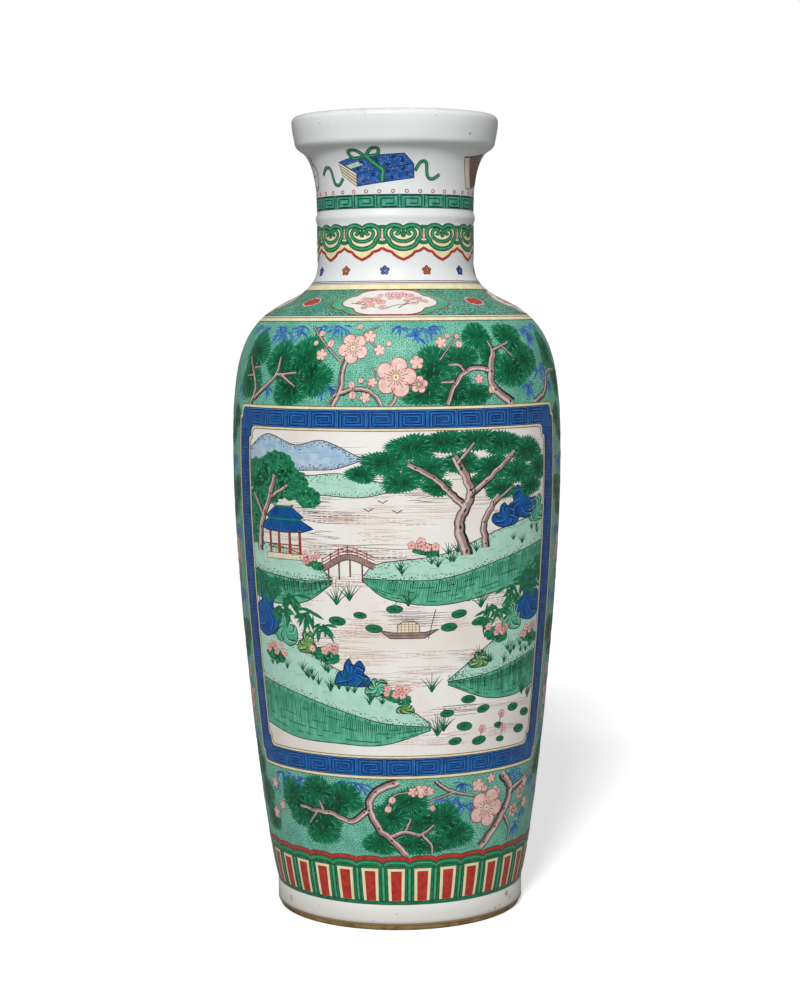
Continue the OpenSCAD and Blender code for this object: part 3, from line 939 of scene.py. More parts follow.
UPPER_LIMBS = (
    (2.2, 0.8, ((-60.3, 293.1), (-57.3, 302), (-59.3, 310.1), (-64.5, 320.4))),
    (1.0, 0.6, ((-59.3, 310.1), (-64.6, 309.3))),
    (1.0, 0.6, ((-59.4, 313.6), (-55.7, 314.3))),
    (2.2, 1.0, ((-58, 297), (-56.2, 298.5), (-46.2, 309.4), (-44.5, 319.8))),
    (1.4, 0.7, ((-46.2, 310), (-36.4, 311.4))),
    (1.2, 0.6, ((-43.1, 310.1), (-36.7, 304))),
    (0.6, 0.9, ((-33.4, 336.5), (-27, 328), (-19, 316.8))),
    (1.6, 3.0, ((-15.2, 324), (-16.2, 321.9), (-18.4, 313.5), (-19.1, 303.3), (-22, 293.8))),
    (2.0, 1.6, ((-21.3, 298.8), (-16.2, 302.2), (-10.4, 302.3), (-6.1, 297.3), (-5.1, 293.8))),
    (1.2, 1.6, ((-0.2, 300.1), (-0.9, 296.2), (-2.3, 293.8))),
    (4.2, 2.4, ((42.8, 294), (34.7, 302.9), (34, 312), (36.2, 322.8))),
    (2.4, 1.6, ((34, 312.6), (27.7, 313.9), (23.5, 311.1), (19.4, 303.9), (17, 294.2))),
    (1.6, 0.7, ((23.6, 312.2), (22.2, 315.1), (18, 315.7))),
    (1.4, 0.7, ((19.5, 306.7), (15, 306.2))),
    (1.6, 0.7, ((36.2, 322.8), (35, 327.9))),
    (1.6, 0.7, ((36.2, 322.8), (44.6, 327.2))),
    (1.0, 0.5, ((41.1, 324.4), (45.2, 319.2))),
    (2.4, 1.4, ((54.2, 293.8), (62.3, 299.4), (66.3, 309.8), (75.5, 311.2))),
    (0.6, 0.4, ((-15.2, 325), (-11, 333), (-6, 336.5))),
    (0.6, 0.4, ((-11.8, 331), (-6, 325), (-2, 327.5))),
    (0.6, 0.4, ((15, 318), (20, 327), (22.6, 333))),
    (0.6, 0.4, ((-9.8, 303), (-7, 309), (-8.4, 314.5))),
)
UPPER_CLUMPS = (
    (-60, 323, 13, 12), (-61.5, 308, 12.5, 13), (-44.5, 318, 11.5, 12), (-33, 319, 12.5, 14),
    (-29, 308.5, 11.5, 10), (-38.5, 308, 11, 10), (-39.5, 300.5, 12, 8), (31, 330.5, 10.5, 9),
    (46, 330, 12, 9.5), (50.5, 318, 13, 12), (43, 311.5, 12.5, 10), (34.5, 319, 7.5, 10),
    (13, 316, 12.5, 10), (11.5, 307, 11, 9), (23, 319, 11, 8.5), (9, 299, 12.5, 5.5), (20.5, 304, 9, 8),
    (27, 299.5, 11.5, 6.5), (70, 322, 10, 12), (19, 297.5, 10, 4.5), (76, 306, 9, 10),
)
UPPER_BLOSSOMS = (
    (-9.5, 330.9, 3.6), (-28.4, 332.5, 2), (-23.9, 327.1, 2.4), (-26.9, 321.2, 3.3), (-30, 327.4, 1.7),
    (-5.8, 323.6, 3), (-2.5, 327, 1.7), (-13.6, 336, 1.9), (16.1, 327.5, 3.3), (18.9, 330.9, 1.7),
    (22.6, 330.5, 1.7), (22.8, 326.3, 2.2), (6.9, 316.9, 3.8), (7.5, 305.2, 4.6), (-8, 306.5, 2.6),
    (-15.1, 305.1, 2.1), (-11.9, 307.4, 1.7), (-14.7, 299.5, 2.4), (-10.4, 298.4, 2.8), (29, 307.6, 2.6),
    (33.7, 301.8, 2.4), (-15.3, 324.7, 8.5), (-0.2, 309.1, 10.7),
)
UPPER_BAMBOO = (
    (-61, 336.5, 9), (-50, 336.5, 9), (-46.5, 335.5, 12), (-38.5, 336.5, 10), (-29, 337, 6),
    (-20.8, 337, 9), (1.5, 337, 8), (8.2, 336, 12), (14.4, 337, 9), (-26, 306.5, 9), (-31, 303.5, 6),
    (-22, 304.5, 6), (-50, 304.5, 8), (59, 336, 9), (60, 332, 9), (61, 315.5, 10), (51, 305.5, 9),
    (66, 306.5, 8), (-67, 304.5, 7), (-70, 337, 8), (70, 337, 8),
)


# Layers of small and large blossoms, which lie over the branches, and the radius that parts them
SMALL_LAYER = 13
LARGE_LAYER = 17
LARGE_RADIUS = 5


def frieze_side(drawing, limbs, clumps, blossoms, sprays, dice):
    for degrees, height, size in sprays:
        drawing.layer(0)
        leaf_spray(drawing, drawing.spot(degrees, height), size, dice)
    drawing.layer(2)
    pines(drawing, clumps, dice)
    branches(drawing, limbs, dice)
    for degrees, height, radius in blossoms:
        drawing.layer(SMALL_LAYER if radius < LARGE_RADIUS else LARGE_LAYER)
        blossom(drawing, drawing.spot(degrees, height), radius, dice.uniform(0, 1.2))


def make_friezes():
    """Pine, prunus and bamboo over and under the panels, and the same turned round on the back."""
    dice = random.Random(7)
    lower = (LOWER_LIMBS, LOWER_CLUMPS, LOWER_BLOSSOMS, LOWER_BAMBOO)
    upper = (UPPER_LIMBS, UPPER_CLUMPS, UPPER_BLOSSOMS, UPPER_BAMBOO)
    for name, height, motifs in (("lower_frieze", 65, lower), ("upper_frieze", 316, upper)):
        drawing = Drawing(name, height)
        frieze_side(drawing, *motifs, dice)
        drawing.turn = 180
        frieze_side(drawing, *motifs, dice)
        drawing.done("leaf_green_enamel")


SIDE_LIMBS = (
    (3.4, 2.4, ((-6, 60), (2, 84), (-5, 112), (4, 142), (-3, 172), (5, 204))),
    (2.2, 1.2, ((4, 142), (12, 156), (10, 172), (16, 186))),
    (2.0, 1.0, ((-5, 112), (-13, 122), (-14, 138))),
    (2.4, 1.2, ((5, 204), (-4, 226), (3, 250), (-2, 276), (2, 296))),
    (1.8, 0.9, ((-1, 180), (-12, 194), (-11, 210))),
    (1.6, 0.8, ((-3, 226), (8, 238), (14, 236))),
    (2.0, 0.8, ((1, 82), (8, 92), (12, 106))),
    (1.8, 0.8, ((0, 90), (-8, 86), (-14, 90))),
    (1.8, 0.8, ((-2, 168), (-9, 162), (-14, 158))),
    (1.8, 0.8, ((4, 200), (9, 207), (15, 206))),
    (1.8, 0.8, ((-4, 227), (-9, 234), (-14, 240))),
    (1.8, 0.8, ((2, 252), (8, 258), (13, 266))),
    (1.4, 0.7, ((-1, 272), (-8, 276), (-14, 282))),
)
SIDE_CLUMPS = (
    (11, 101, 9, 8), (16, 108, 8, 8), (8, 110, 8, 7), (-13, 92, 9, 8), (-17, 85, 8, 7), (-10, 83, 8, 7),
    (-13, 155, 9, 8), (-17, 163, 8, 8), (-10, 164, 8, 7), (12, 202, 9, 8), (17, 210, 8, 8), (9, 212, 8, 7),
    (-13, 236, 9, 8), (-17, 245, 8, 8), (-9, 244, 8, 7), (12, 261, 9, 8), (16, 270, 8, 8), (8, 270, 8, 7),
    (-12, 278, 9, 8), (-17, 286, 8, 7), (14, 128, 8, 8), (18, 134, 7, 7),
)
SIDE_BLOSSOMS = (
    (-12, 124, 8), (-15, 140, 4.2), (8, 152, 4.2), (15, 188, 7.5), (10, 172, 3.2), (-11, 210, 8),
    (-4, 192, 2.8), (4, 122, 2.6), (-8, 176, 2.4), (3, 250, 7.5), (15, 236, 4.2), (-4, 289, 3.6),
    (-16, 112, 2.4), (16, 150, 3), (-3, 100, 3.4), (8, 222, 3.2), (-8, 134, 2.2), (-17, 128, 2.4),
    (12, 180, 2.4), (17, 180, 2.2), (-16, 204, 2.6), (-6, 202, 2.2), (9, 243, 2.4), (-2, 262, 2.4),
    (4, 284, 2.6), (8, 140, 2.2), (-2, 152, 2.6), (3, 74, 3.4), (-12, 72, 2.6),
)
SIDE_BAMBOO = (
    (10, 88, 10), (17, 92, 9), (-15, 108, 10), (9, 122, 9), (15, 120, 9), (-16, 188, 11), (-10, 184, 9),
    (15, 168, 11), (9, 164, 8), (-15, 224, 11), (-9, 222, 8), (14, 228, 10), (-14, 264, 10),
    (-9, 260, 8), (8, 292, 10), (15, 289, 9), (-8, 148, 8), (16, 252, 9), (-14, 74, 9), (12, 72, 9),
)


def make_side_strips():
    """Prunus, pine and bamboo between the panels."""
    dice = random.Random(19)
    for side, flip in (("right", 1), ("left", -1)):
        drawing = Drawing(side + "_strip", 190)
        drawing.turn = 90 * flip
        drawing.flip = flip
        frieze_side(drawing, SIDE_LIMBS, SIDE_CLUMPS, SIDE_BLOSSOMS, SIDE_BAMBOO, dice)
        drawing.done("leaf_green_enamel")


# A stepped corner, as distances in from the side and from the top or bottom
CORNER_STEPS = (
    (0.0, 7.8), (0.2, 6.9), (0.9, 6.2), (1.9, 6.0), (2.4, 5.4), (2.5, 3.6), (2.8, 2.0), (3.6, 0.8),
    (4.8, 0.15), (6.2, 0.0),
)


RIM_STEPS = 60


def box_rim(drawing, half_deg, low, high):
    """A closed ring of points round a panel with stepped corners. All such rings have the same count."""
    left, bottom = drawing.spot(-half_deg, low)
    right, top = drawing.spot(half_deg, high)
    corners = (
        (right, bottom, -1, 1, CORNER_STEPS[::-1]), (right, top, -1, -1, CORNER_STEPS),
        (left, top, 1, -1, CORNER_STEPS[::-1]), (left, bottom, 1, 1, CORNER_STEPS),
    )
    turns = []
    for x, y, inward, rise, steps in corners:
        turns.append([Vector((x + inward * a, y + rise * b)) for a, b in steps])
    rim = []
    for corner, after in zip(turns, turns[1:] + turns[:1]):
        rim += corner
        rim += [corner[-1].lerp(after[0], n / RIM_STEPS) for n in range(1, RIM_STEPS)]
    return rim + rim[:1]


def make_frame(side, turn):
    """A blue frame with a key fret, edged with pale yellow."""
    node = side + "_frame_enamel"
    inner_low, inner_high = node_heights(side + "_panel_enamel")
    low, high = node_heights(node)
    drawing = Drawing(side + "_frame", (low + high) / 2, FRAMED)
    drawing.turn = turn
    outer = box_rim(drawing, FRAME_DEG, low, high)
    outer_line = box_rim(drawing, FRAME_DEG - 1.0, low + 1.6, high - 1.6)
    inner = box_rim(drawing, PANEL_DEG, inner_low, inner_high)
    inner_line = box_rim(drawing, PANEL_DEG + 0.8, inner_low - 1.3, inner_high + 1.3)
    drawing.band(outer, outer_line, YELLOW)
    drawing.band(outer_line, inner_line, BLUE, 4)
    drawing.band(inner_line, inner, YELLOW)
    angles = (-FRAME_DEG + 8.5, FRAME_DEG - 8.5)
    for start, units in ((low + 2.0, 11), (high - 11.4, 12)):
        key_fret(drawing, angles, (start, start + 9.4), units, 1, DEEP_BLUE, 0.55, BAMBOO, CLOSE_KEY)
    heights = (low + 13.4, high - 13.4)
    for start in (-FRAME_DEG + 1.5, FRAME_DEG - 8):
        key_fret(drawing, (start, start + 6.5), heights, 1, 14, DEEP_BLUE, 0.5, key=CLOSE_KEY)
    drawing.layer(3)
    for rim in (outer, outer_line, inner_line, inner):
        drawing.edge(rim[:-1], FINE, BROWN)
    drawing.done("blue_enamel", node)


def make_lines():
    """The yellow lines with brown hairlines that edge the shoulder band."""
    for name in ("shoulder_line", "neck_line"):
        low, high = node_heights(name + "_enamel")
        drawing = Drawing(name, (low + high) / 2)
        round_band(drawing, low, high, YELLOW)
        drawing.above()
        hairlines = [low + 0.15, high - 0.15]
        if name == "neck_line":
            hairlines += [high + 0.75, high + 1.7]
        else:
            hairlines += [high - 1.1]
            round_band(drawing, high - 1.05, high - 0.2, WHITE)
        drawing.above()
        for height in hairlines:
            round_band(drawing, height - 0.2, height + 0.2, BROWN)
        drawing.done("yellow_enamel", name + "_enamel", merge=True)


CARTOUCHE = (
    (0, 13.6), (12, 13.6), (18.5, 12.8), (22.6, 11), (24.2, 9.2), (25, 8.3), (28, 7.6), (31.4, 5),
    (33.2, 0), (31.2, -5), (27, -8), (23.4, -9), (22.4, -10), (20.4, -11.8), (16.5, -13), (12, -13.6),
    (0, -13.6),
)
CARTOUCHE_FIELD = (
    (0, 13.1), (9, 13.1), (15, 12.1), (18.8, 10.2), (20, 8.1), (20.8, 7.2), (23.4, 6.2), (25.6, 3.4),
    (26.6, 0), (25.4, -3.6), (22, -6), (19, -6.8), (17.8, -8), (16.4, -10.3), (13, -12.3), (9, -13.1),
    (0, -13.1),
)
CARTOUCHE_TWIGS = (
    ((-21, -1.5), (-13, -3.5), (-6, -7)), ((-17, 3.2), (-10, 4.4), (-6, 1.5)),
    ((-2, -8), (3, -4.5), (9, -2.5)), ((5, -7), (10, -1), (14, 4)), ((8, -3.5), (15, -0.5), (21, 2)),
    ((-3, 8.5), (4, 7), (11, 9)), ((-14, -4), (-11, 1), (-12, 5)), ((12, 2), (17, 4), (19, 6)),
)
CARTOUCHE_BLOSSOMS = (
    (-12, 0.8, 3.0), (-8, 3.4, 2.9), (-4.6, -0.2, 3.0), (-9.5, -3.8, 2.4), (-3, -6.4, 2.4),
    (-1, 8.6, 2.6), (3.4, 8.2, 3.0), (8, 8.4, 2.8), (12.2, 6.6, 3.2), (16.8, 3.6, 2.4), (9.8, 1.4, 2.0),
    (-16.5, -0.6, 2.0), (0.5, 4.6, 2.0), (20, 0.6, 1.9), (-15, 3.8, 1.8), (-6, 7.6, 2.0), (5, 4.6, 1.8),
    (14, -1.6, 1.8), (-12.6, -6.4, 1.7),
)


ROSETTE_PETALS = 7


def make_shoulder_band():
    """Stippled green with four cartouches of prunus and four red rosettes between them."""
    low, high = node_heights("shoulder_band_enamel")
    ground = Drawing("shoulder_ground", (low + high) / 2, GROUND)
    round_band(ground, low, high, BAND_GREEN)
    ground.done("mint_green_enamel", "shoulder_band_enamel", merge=True)
    drawing = Drawing("shoulder_cartouches", (low + high) / 2, step=0.02)
    rise = (wall.length_at(high) + wall.length_at(low)) / 2
    for k in range(4):
        middle = Vector((drawing.spot(90 * k - 3.2, high).x, rise))
        outer = smooth_ring(drawing.near(middle, mirrored(CARTOUCHE)))
        field = smooth_ring(drawing.near(middle, mirrored(CARTOUCHE_FIELD)))
        drawing.layer(0)
        drawing.wash(outer, PALE_LEAF)
        drawing.layer(2)
        drawing.edge(outer, 0.7, RED_LINE)
        drawing.wash(field, WHITE)
        drawing.layer(4)
        drawing.edge(field, 0.7, RED_LINE)
        for twig in CARTOUCHE_TWIGS:
            drawing.stroke(smooth_path(drawing.near(middle, twig)), 0.7, BROWN, 0.35)
        for x, y, radius in CARTOUCHE_BLOSSOMS:
            drawing.layer(5)
            rose(drawing, middle + Vector((x, y)), radius, x)
        hub = Vector((drawing.spot(90 * k + 43, high).x, rise + 0.4))
        drawing.layer(0)
        for n in range(ROSETTE_PETALS):
            drawing.wash(oval(hub + swing(4, 2.8, tau * n / ROSETTE_PETALS), 2.5, 2.5), PINK)
        drawing.layer(2)
        for n in range(ROSETTE_PETALS):
            drawing.wash(oval(hub + swing(3.8, 2.6, tau * n / ROSETTE_PETALS), 1.95, 1.95), RED)
        drawing.layer(4)
        drawing.wash(oval(hub, 1.4, 1.8), ORANGE)
        for n in range(ROSETTE_PETALS):
            spoke = [hub, hub + swing(4.6, 3.2, tau * (n + 0.5) / ROSETTE_PETALS)]
            drawing.stroke(straight_path(spoke), 0.22, RED_LINE)
    drawing.done("leaf_green_enamel")


def rose(drawing, middle, radius, start):
    """A small pink blossom drawn loosely."""
    for k in range(5):
        petal = polar(middle, 0.55 * radius, start + tau * k / 5)
        drawing.wash(oval(petal, 0.4 * radius, 0.48 * radius), ROSE)
    drawing.above()
    for k in range(5):
        hub = polar(middle, 0.55 * radius, start + tau * k / 5)
        arc = [polar(hub, 0.44 * radius, start + tau * k / 5 + turn) for turn in (-1.6, -0.8, 0, 0.8, 1.6)]
        drawing.stroke(arc, 0.2, RED_LINE)
    drawing.dot(middle, 0.2 * radius, RED_LINE)


SCALLOP = (
    (-11.73, -5.9), (-9.3, -7.4), (-6.5, -8.1), (-5, -9.8), (-2.6, -11.3),
    (0, -12.4), (2.6, -11.3), (5, -9.8), (6.5, -8.1), (9.3, -7.4),
)
HEAD_TOP = ((7.9, -1.8), (9.7, 0.3), (10.1, 3), (8.6, 5.5), (5.6, 6.5), (2.8, 6.3), (0, 5))
HEAD_CHIN = ((-7.9, -1.8), (-7.4, -3.5), (-5.3, -5.2), (-2.6, -6.2), (0, -6.5))
HEAD_CURL = (
    (0, -2.4), (2.8, -2), (5.6, -0.4), (6.7, 2.1), (5.4, 4.1), (3.2, 4.2), (2.1, 2.8), (3.2, 1.7),
    (4.2, 2.4),
)


HEAD_BEAD = ((0, 4.4), (1.3, 1.8), (0.9, 0.2), (-0.9, 0.2), (-1.3, 1.8))
COLLAR_HEADS = 12


def make_collar():
    """A collar of green ruyi heads on yellow, with a scalloped red edge."""
    low, high = node_heights("collar_enamel")
    drawing = Drawing("collar", (low + high) / 2, step=0.02)
    half = pi * drawing.ring / COLLAR_HEADS
    hubs = [drawing.spot(360 * k / COLLAR_HEADS + 5.6, 385.4) for k in range(COLLAR_HEADS)]
    edge = [hub + Vector(point) for hub in hubs for point in SCALLOP] + [hubs[-1] + Vector((half, -5.9))]
    edge = straight_path(edge, 1.2)
    drawing.band(edge, [Vector((point.x, hubs[0].y + 6.2)) for point in edge], YELLOW, 9)
    drawing.above()
    drawing.stroke(edge, 1.15, RED)
    drawing.above()
    for aside in (-0.62, 0.62):
        drawing.stroke(edge, 0.26, RED_LINE, aside=aside)
    flipped = [(-x, y) for x, y in HEAD_TOP[-2::-1]]
    chin = list(HEAD_CHIN) + [(-x, y) for x, y in HEAD_CHIN[-2::-1]]
    for hub in hubs:
        head = smooth_path(drawing.near(hub, list(HEAD_TOP) + flipped), 1.1)[:-1]
        head += smooth_path(drawing.near(hub, chin), 1.1)[:-1]
        curls = []
        for side in (-1, 1):
            curl = [(side * x, y) for x, y in HEAD_CURL]
            curls.append(smooth_path(drawing.near(hub, curl), 0.8))
        links = [
            smooth_path(drawing.near(hub, [(8.6, 5.2), (half, 5.7), (2 * half - 8.6, 5.2)]), 1.1),
            smooth_path(drawing.near(hub, [(7.9, -2.1), (half, -3), (2 * half - 7.9, -2.1)]), 1.1),
        ]
        drop = oval(hub + Vector((half, 1.4)), 0.9, 2.6, pi / 2, 10)
        bead = smooth_ring(drawing.near(hub, HEAD_BEAD), 0.8)
        drawing.layer(3)
        drawing.edge(head, 2.7, DARK)
        drawing.wash(drop, PINK)
        for path in curls + links:
            drawing.stroke(path, 2.1, DARK)
        drawing.layer(5)
        drawing.edge(head, 2.0, LEAF)
        drawing.edge(drop, 0.34, RED_LINE)
        for path in curls + links:
            drawing.stroke(path, 1.4, LEAF)
        drawing.wash(bead, LEAF)
        drawing.layer(7)
        drawing.edge(head, 0.5, PALE_LEAF)
        drawing.edge(bead, HAIR, DARK)
        for path in curls:
            drawing.stroke(path, 0.36, PALE_LEAF)
    drawing.done("leaf_green_enamel", "collar_enamel")


def make_neck_fret():
    low, high = node_heights("fret_enamel")
    drawing = Drawing("neck_fret", (low + high) / 2, step=0.02)
    round_band(drawing, low, high, FRET_GREEN)
    drawing.layer(2)
    key_fret(drawing, (-185.5, 174.5), (low + 0.2, high - 0.2), 21, 1, FRET_DARK, 0.6)
    drawing.above()
    for height in (low + 0.2, high - 0.2):
        round_band(drawing, height - 0.17, height + 0.17, FRET_DARK)
    drawing.done("mint_green_enamel", "fret_enamel")


NECK_RINGS = 37


def make_florets():
    """Blue and orange florets under the collar, and a row of small red rings over the fret."""
    drawing = Drawing("florets", 367, step=0.02)
    for k in range(12):
        middle = drawing.spot(30 * k - 7.7, 367)
        finish = ORANGE if k % 2 else BOOK_BLUE
        drawing.layer(0)
        angles = [0.3 + tau * n / 5 for n in range(5)]
        petals = [oval(polar(middle, 1.6, angle), 0.92, 1.05, angle, 10) for angle in angles]
        for petal in petals:
            drawing.wash(petal, finish)
        drawing.layer(2)
        for petal in petals:
            drawing.edge(petal, 0.5, BROWN if k % 2 else DEEP_BLUE)
        drawing.wash(oval(middle, 0.7, 0.7, count=8), YELLOW if k % 2 else WHITE)
        drawing.layer(4)
        drawing.dot(middle, 0.34, RED_LINE if k % 2 else DEEP_BLUE)
    drawing.done("blue_enamel")
    drawing = Drawing("neck_rings", 410)
    for k in range(NECK_RINGS):
        drawing.edge(oval(drawing.spot(360 * k / NECK_RINGS - 1.5, 410.7), 0.85, 0.95), 0.42, RED)
    drawing.done("blue_enamel")


def facet(drawing, places, finish, line):
    """A flat patch between places, with a line round it one layer up."""
    rim = straight_path(drawing.spots(places) + drawing.spots(places[:1]))[:-1]
    drawing.wash(rim, finish)
    level = drawing.level
    drawing.above()
    drawing.edge(rim, FINE, line)
    drawing.level = level


def ribbon(drawing, places, width, finish=LEAF):
    path = smooth_path(drawing.spots(places), 1.0)
    level = drawing.level
    drawing.stroke(path, width + 0.6, DARK)
    drawing.above()
    drawing.stroke(path, width, finish)
    drawing.above()
    drawing.stroke(path, 0.3 * width, PALE_LEAF)
    drawing.level = level


def on_face(drawing, corners, across, along):
    """A point in a field with four corners, as shares along its sides."""
    low = drawing.spot(*corners[3]).lerp(drawing.spot(*corners[2]), across)
    high = drawing.spot(*corners[0]).lerp(drawing.spot(*corners[1]), across)
    return low.lerp(high, along)


# Places of the florets on a book's faces, as shares along their sides
BOOK_FLORETS = ((0.12, 0.3), (0.62, 0.25), (0.55, 0.75), (0.88, 0.4), (0.82, 0.8), (0.3, 0.7))
BOOK_DOTS = 260


def make_neck_emblems():
    """Tied books, stands and jars, as set out on the necks of such vases."""
    drawing = Drawing("neck_emblems", 420, step=0.025)
    dice = random.Random(5)
    top = ((-41.6, 427.1), (4.8, 431.1), (11.5, 425.4), (-28.5, 420.6))
    front = ((-28.5, 420.6), (11.5, 425.4), (12, 417.9), (-28.9, 413.6))
    pages = ((-41.6, 427.1), (-28.5, 420.6), (-28.9, 413.6), (-40.2, 420.2))
    far_corner = (-29.7, 429.5)
    near_face = ((51.2, 430), (57, 430.2), (68, 413.2), (60.5, 412.9))
    far_face = ((57, 430.2), (78, 432.6), (84, 416.2), (68, 413.2))
    tails = (
        ((-39.9, 418.3), (-44, 414.9), (-48.6, 416), (-51, 423.6), (-55.5, 424.6), (-60.7, 421)),
        ((12.5, 421.7), (16, 426.4), (20, 426.2), (21.6, 419), (25.5, 417.4), (31, 419.9)),
    )
    for shift in (0, 180):
        drawing.turn = shift + 1.2
        drawing.layer(0)
        facet(drawing, (top[0], far_corner) + top[1:], BOOK_BLUE, DEEP_BLUE)
        facet(drawing, front, BOOK_BLUE, DEEP_BLUE)
        facet(drawing, pages, CREAM, BROWN)
        drawing.layer(2)
        for share in (0.25, 0.5, 0.75):
            start = drawing.spot(*pages[0]).lerp(drawing.spot(*pages[3]), share)
            end = drawing.spot(*pages[1]).lerp(drawing.spot(*pages[2]), share)
            drawing.stroke(straight_path([start, end]), 0.42, DARK)
        for corners in (top, front):
            for k in range(BOOK_DOTS):
                across, along = dice.uniform(0.02, 0.98), dice.uniform(0.04, 0.96)
                speck = on_face(drawing, corners, across, along)
                drawing.dot(speck, 0.19, DEEP_BLUE if k % 3 else HAZE)
            for across, along in BOOK_FLORETS:
                middle = on_face(drawing, corners, across, along)
                for n in range(5):
                    drawing.dot(polar(middle, 0.7, n * tau / 5), 0.5, DEEP_BLUE)
        facet(drawing, ((-36.5, 425.2), (-26.2, 427.2), (-22.4, 425.2), (-32.4, 423.1)), BANK, BROWN)
        drawing.layer(4)
        ribbon(drawing, ((-20.6, 430.2), (-15, 425.8), (-9.6, 422.4), (-9.8, 419.5), (-10.2, 415.9)), 2.4)
        ribbon(drawing, ((-20.6, 429.8), (-27, 433.2), (-32, 432.4), (-29, 428.8), (-20.6, 429.8)), 1.2)
        ribbon(drawing, ((-20.6, 429.8), (-16, 433.8), (-11.8, 433.8), (-12.6, 430.6), (-20.6, 429.8)), 1.2)
        for tail in tails:
            ribbon(drawing, tail, 1.2, PINE)
        drawing.layer(0)
        facet(drawing, near_face, CREAM, BROWN)
        facet(drawing, far_face, BARK, BROWN)
        drawing.layer(2)
        top_left, top_right, low_right, low_left = drawing.spots(far_face)
        for k in range(1, 10):
            share = k / 10
            upright = [top_left.lerp(top_right, share), low_left.lerp(low_right, share)]
            level = [top_left.lerp(low_left, share), top_right.lerp(low_right, share)]
            drawing.stroke(straight_path(upright), 0.3, DARK)
            drawing.stroke(straight_path(level), 0.24, DARK)
        drawing.stroke(straight_path(drawing.spots((near_face[0], far_face[0], far_face[1]))), 0.8, BROWN)
        jar = ((-81, 431), (-75, 431), (-75.5, 428), (-70.5, 424), (-71, 418), (-75, 413.6), (-81, 413.6),
               (-85, 418), (-85.5, 424), (-80.5, 428))
        rim = smooth_ring(drawing.spots(jar), 1.0)
        drawing.layer(0)
        drawing.wash(rim, WHITE)
        drawing.layer(2)
        drawing.edge(rim, 0.5, BROWN)
        for height in (427.6, 421.5, 415.4):
            belt = drawing.spots(((-84, height), (-78, height - 0.8), (-72, height)))
            drawing.stroke(smooth_path(belt, 1.0), 0.34, BROWN)
    drawing.done("leaf_green_enamel")


class Scenery(Drawing):
    """A drawing in a panel. Places are shares of it: -1 to 1 across and 0 to 1 up."""

    def __init__(self, side, part, turn, flip=1):
        self.low, self.high = node_heights(side + "_panel_enamel")
        super().__init__(side + part, (self.low + self.high) / 2)
        self.turn = turn
        self.flip = flip

    def place(self, across, up):
        return across * PANEL_DEG, self.low + up * (self.high - self.low)

    def at(self, across, up):
        return self.spot(*self.place(across, up))

    def line(self, points, step=1.6):
        return smooth_path([self.at(across, up) for across, up in points], step)

    def patch(self, middle, points, finish, line, width=FINE):
        """A patch with straight sides, given in millimetres from a middle, and its outline."""
        rim = straight_path(self.near(middle, list(points) + [points[0]]))[:-1]
        self.wash(rim, finish)
        self.above()
        self.edge(rim, width, line)

    def rule(self, middle, points, width, finish):
        """A straight line between points given in millimetres from a middle."""
        self.stroke(straight_path(self.near(middle, points)), width, finish)


def evened(path, count):
    """A count of points spread evenly along a path."""
    last = len(path) - 1
    spread = []
    for k in range(count):
        whole = min(floor(k * last / (count - 1)), last - 1)
        spread.append(path[whole].lerp(path[whole + 1], k * last / (count - 1) - whole))
    return spread


def rows_between(upper, lower):
    """How many rows the land between two lines is cut into."""
    return ceil(max((high - low).length for high, low in zip(upper, lower)) / BANK_ROW)


WATER_BUNDLES = 120


def water(scene, dice):
    """Fine level strokes in loose bundles."""
    for _ in range(WATER_BUNDLES):
        across, up = dice.uniform(-0.98, 0.8), dice.uniform(0.01, 0.95)
        reach = dice.uniform(0.15, 0.5)
        finish = BROWN if dice.random() < 0.36 else PALE_LINE
        for k in range(dice.randint(4, 8)):
            start = min(max(across + dice.uniform(-0.06, 0.1), -0.98), 0.86)
            end = min(start + reach * dice.uniform(0.5, 1.1), 0.98)
            height = up + 0.0052 * k
            sway = dice.uniform(-0.003, 0.003)
            third = (end - start) / 3
            places = [(start, height), (start + third, height + sway)]
            places += [(end - third, height - sway), (end, height)]
            scene.stroke(scene.line(places, 3.4), 0.12, finish, 0.1, swell=dice.uniform(0.14, 0.3))


def bank(scene, top, low, dice, finish=BANK):
    """Land between two lines, outlined, with moss dots along its edges."""
    upper, lower = evened(scene.line(top), 60), evened(scene.line(low), 60)
    scene.band(lower, upper, finish, rows_between(upper, lower))
    scene.above()
    for path, side in ((upper, -1), (lower, 1)):
        scene.stroke(path, 0.5, DARK)
        for point in evened(path, 190):
            if dice.random() < 0.75:
                away = Vector((dice.uniform(-0.6, 0.6), side * (0.7 + 2.6 * dice.random() ** 2)))
                scene.dot(point + away, dice.uniform(0.22, 0.42), DARK)
    for high, low in zip(upper[4:-4:3], lower[4:-4:3]):
        start = high.lerp(low, dice.uniform(0.3, 0.75))
        scene.stroke(straight_path([start, start + Vector((dice.uniform(2.5, 7), 0.4))]), 0.3, CLIFF, 0.12)


def cliff(scene, top, low, dice):
    """A steep face under a bank, hatched and blocked out in dark green."""
    upper, lower = evened(scene.line(top), 96), evened(scene.line(low), 96)
    scene.band(lower, upper, CLIFF, rows_between(upper, lower))
    scene.above()
    for high, low in zip(upper, lower):
        start = high.lerp(low, dice.uniform(0, 0.15))
        end = high.lerp(low, dice.uniform(0.4, 0.98)) + Vector((dice.uniform(-0.4, 0.4), 0))
        scene.stroke(straight_path([start, end]), 0.6, NEEDLE if dice.random() < 0.6 else LEAF, 0.2)
    for k in range(2, 88, 2):
        share = dice.choice((0.3, 0.5, 0.7, 0.85))
        ledge = evened([upper[j].lerp(lower[j], share) for j in range(k, k + 5)], 4)
        scene.stroke(ledge, 0.55, NEEDLE, 0.3)
    scene.stroke(lower, 0.5, DARK)


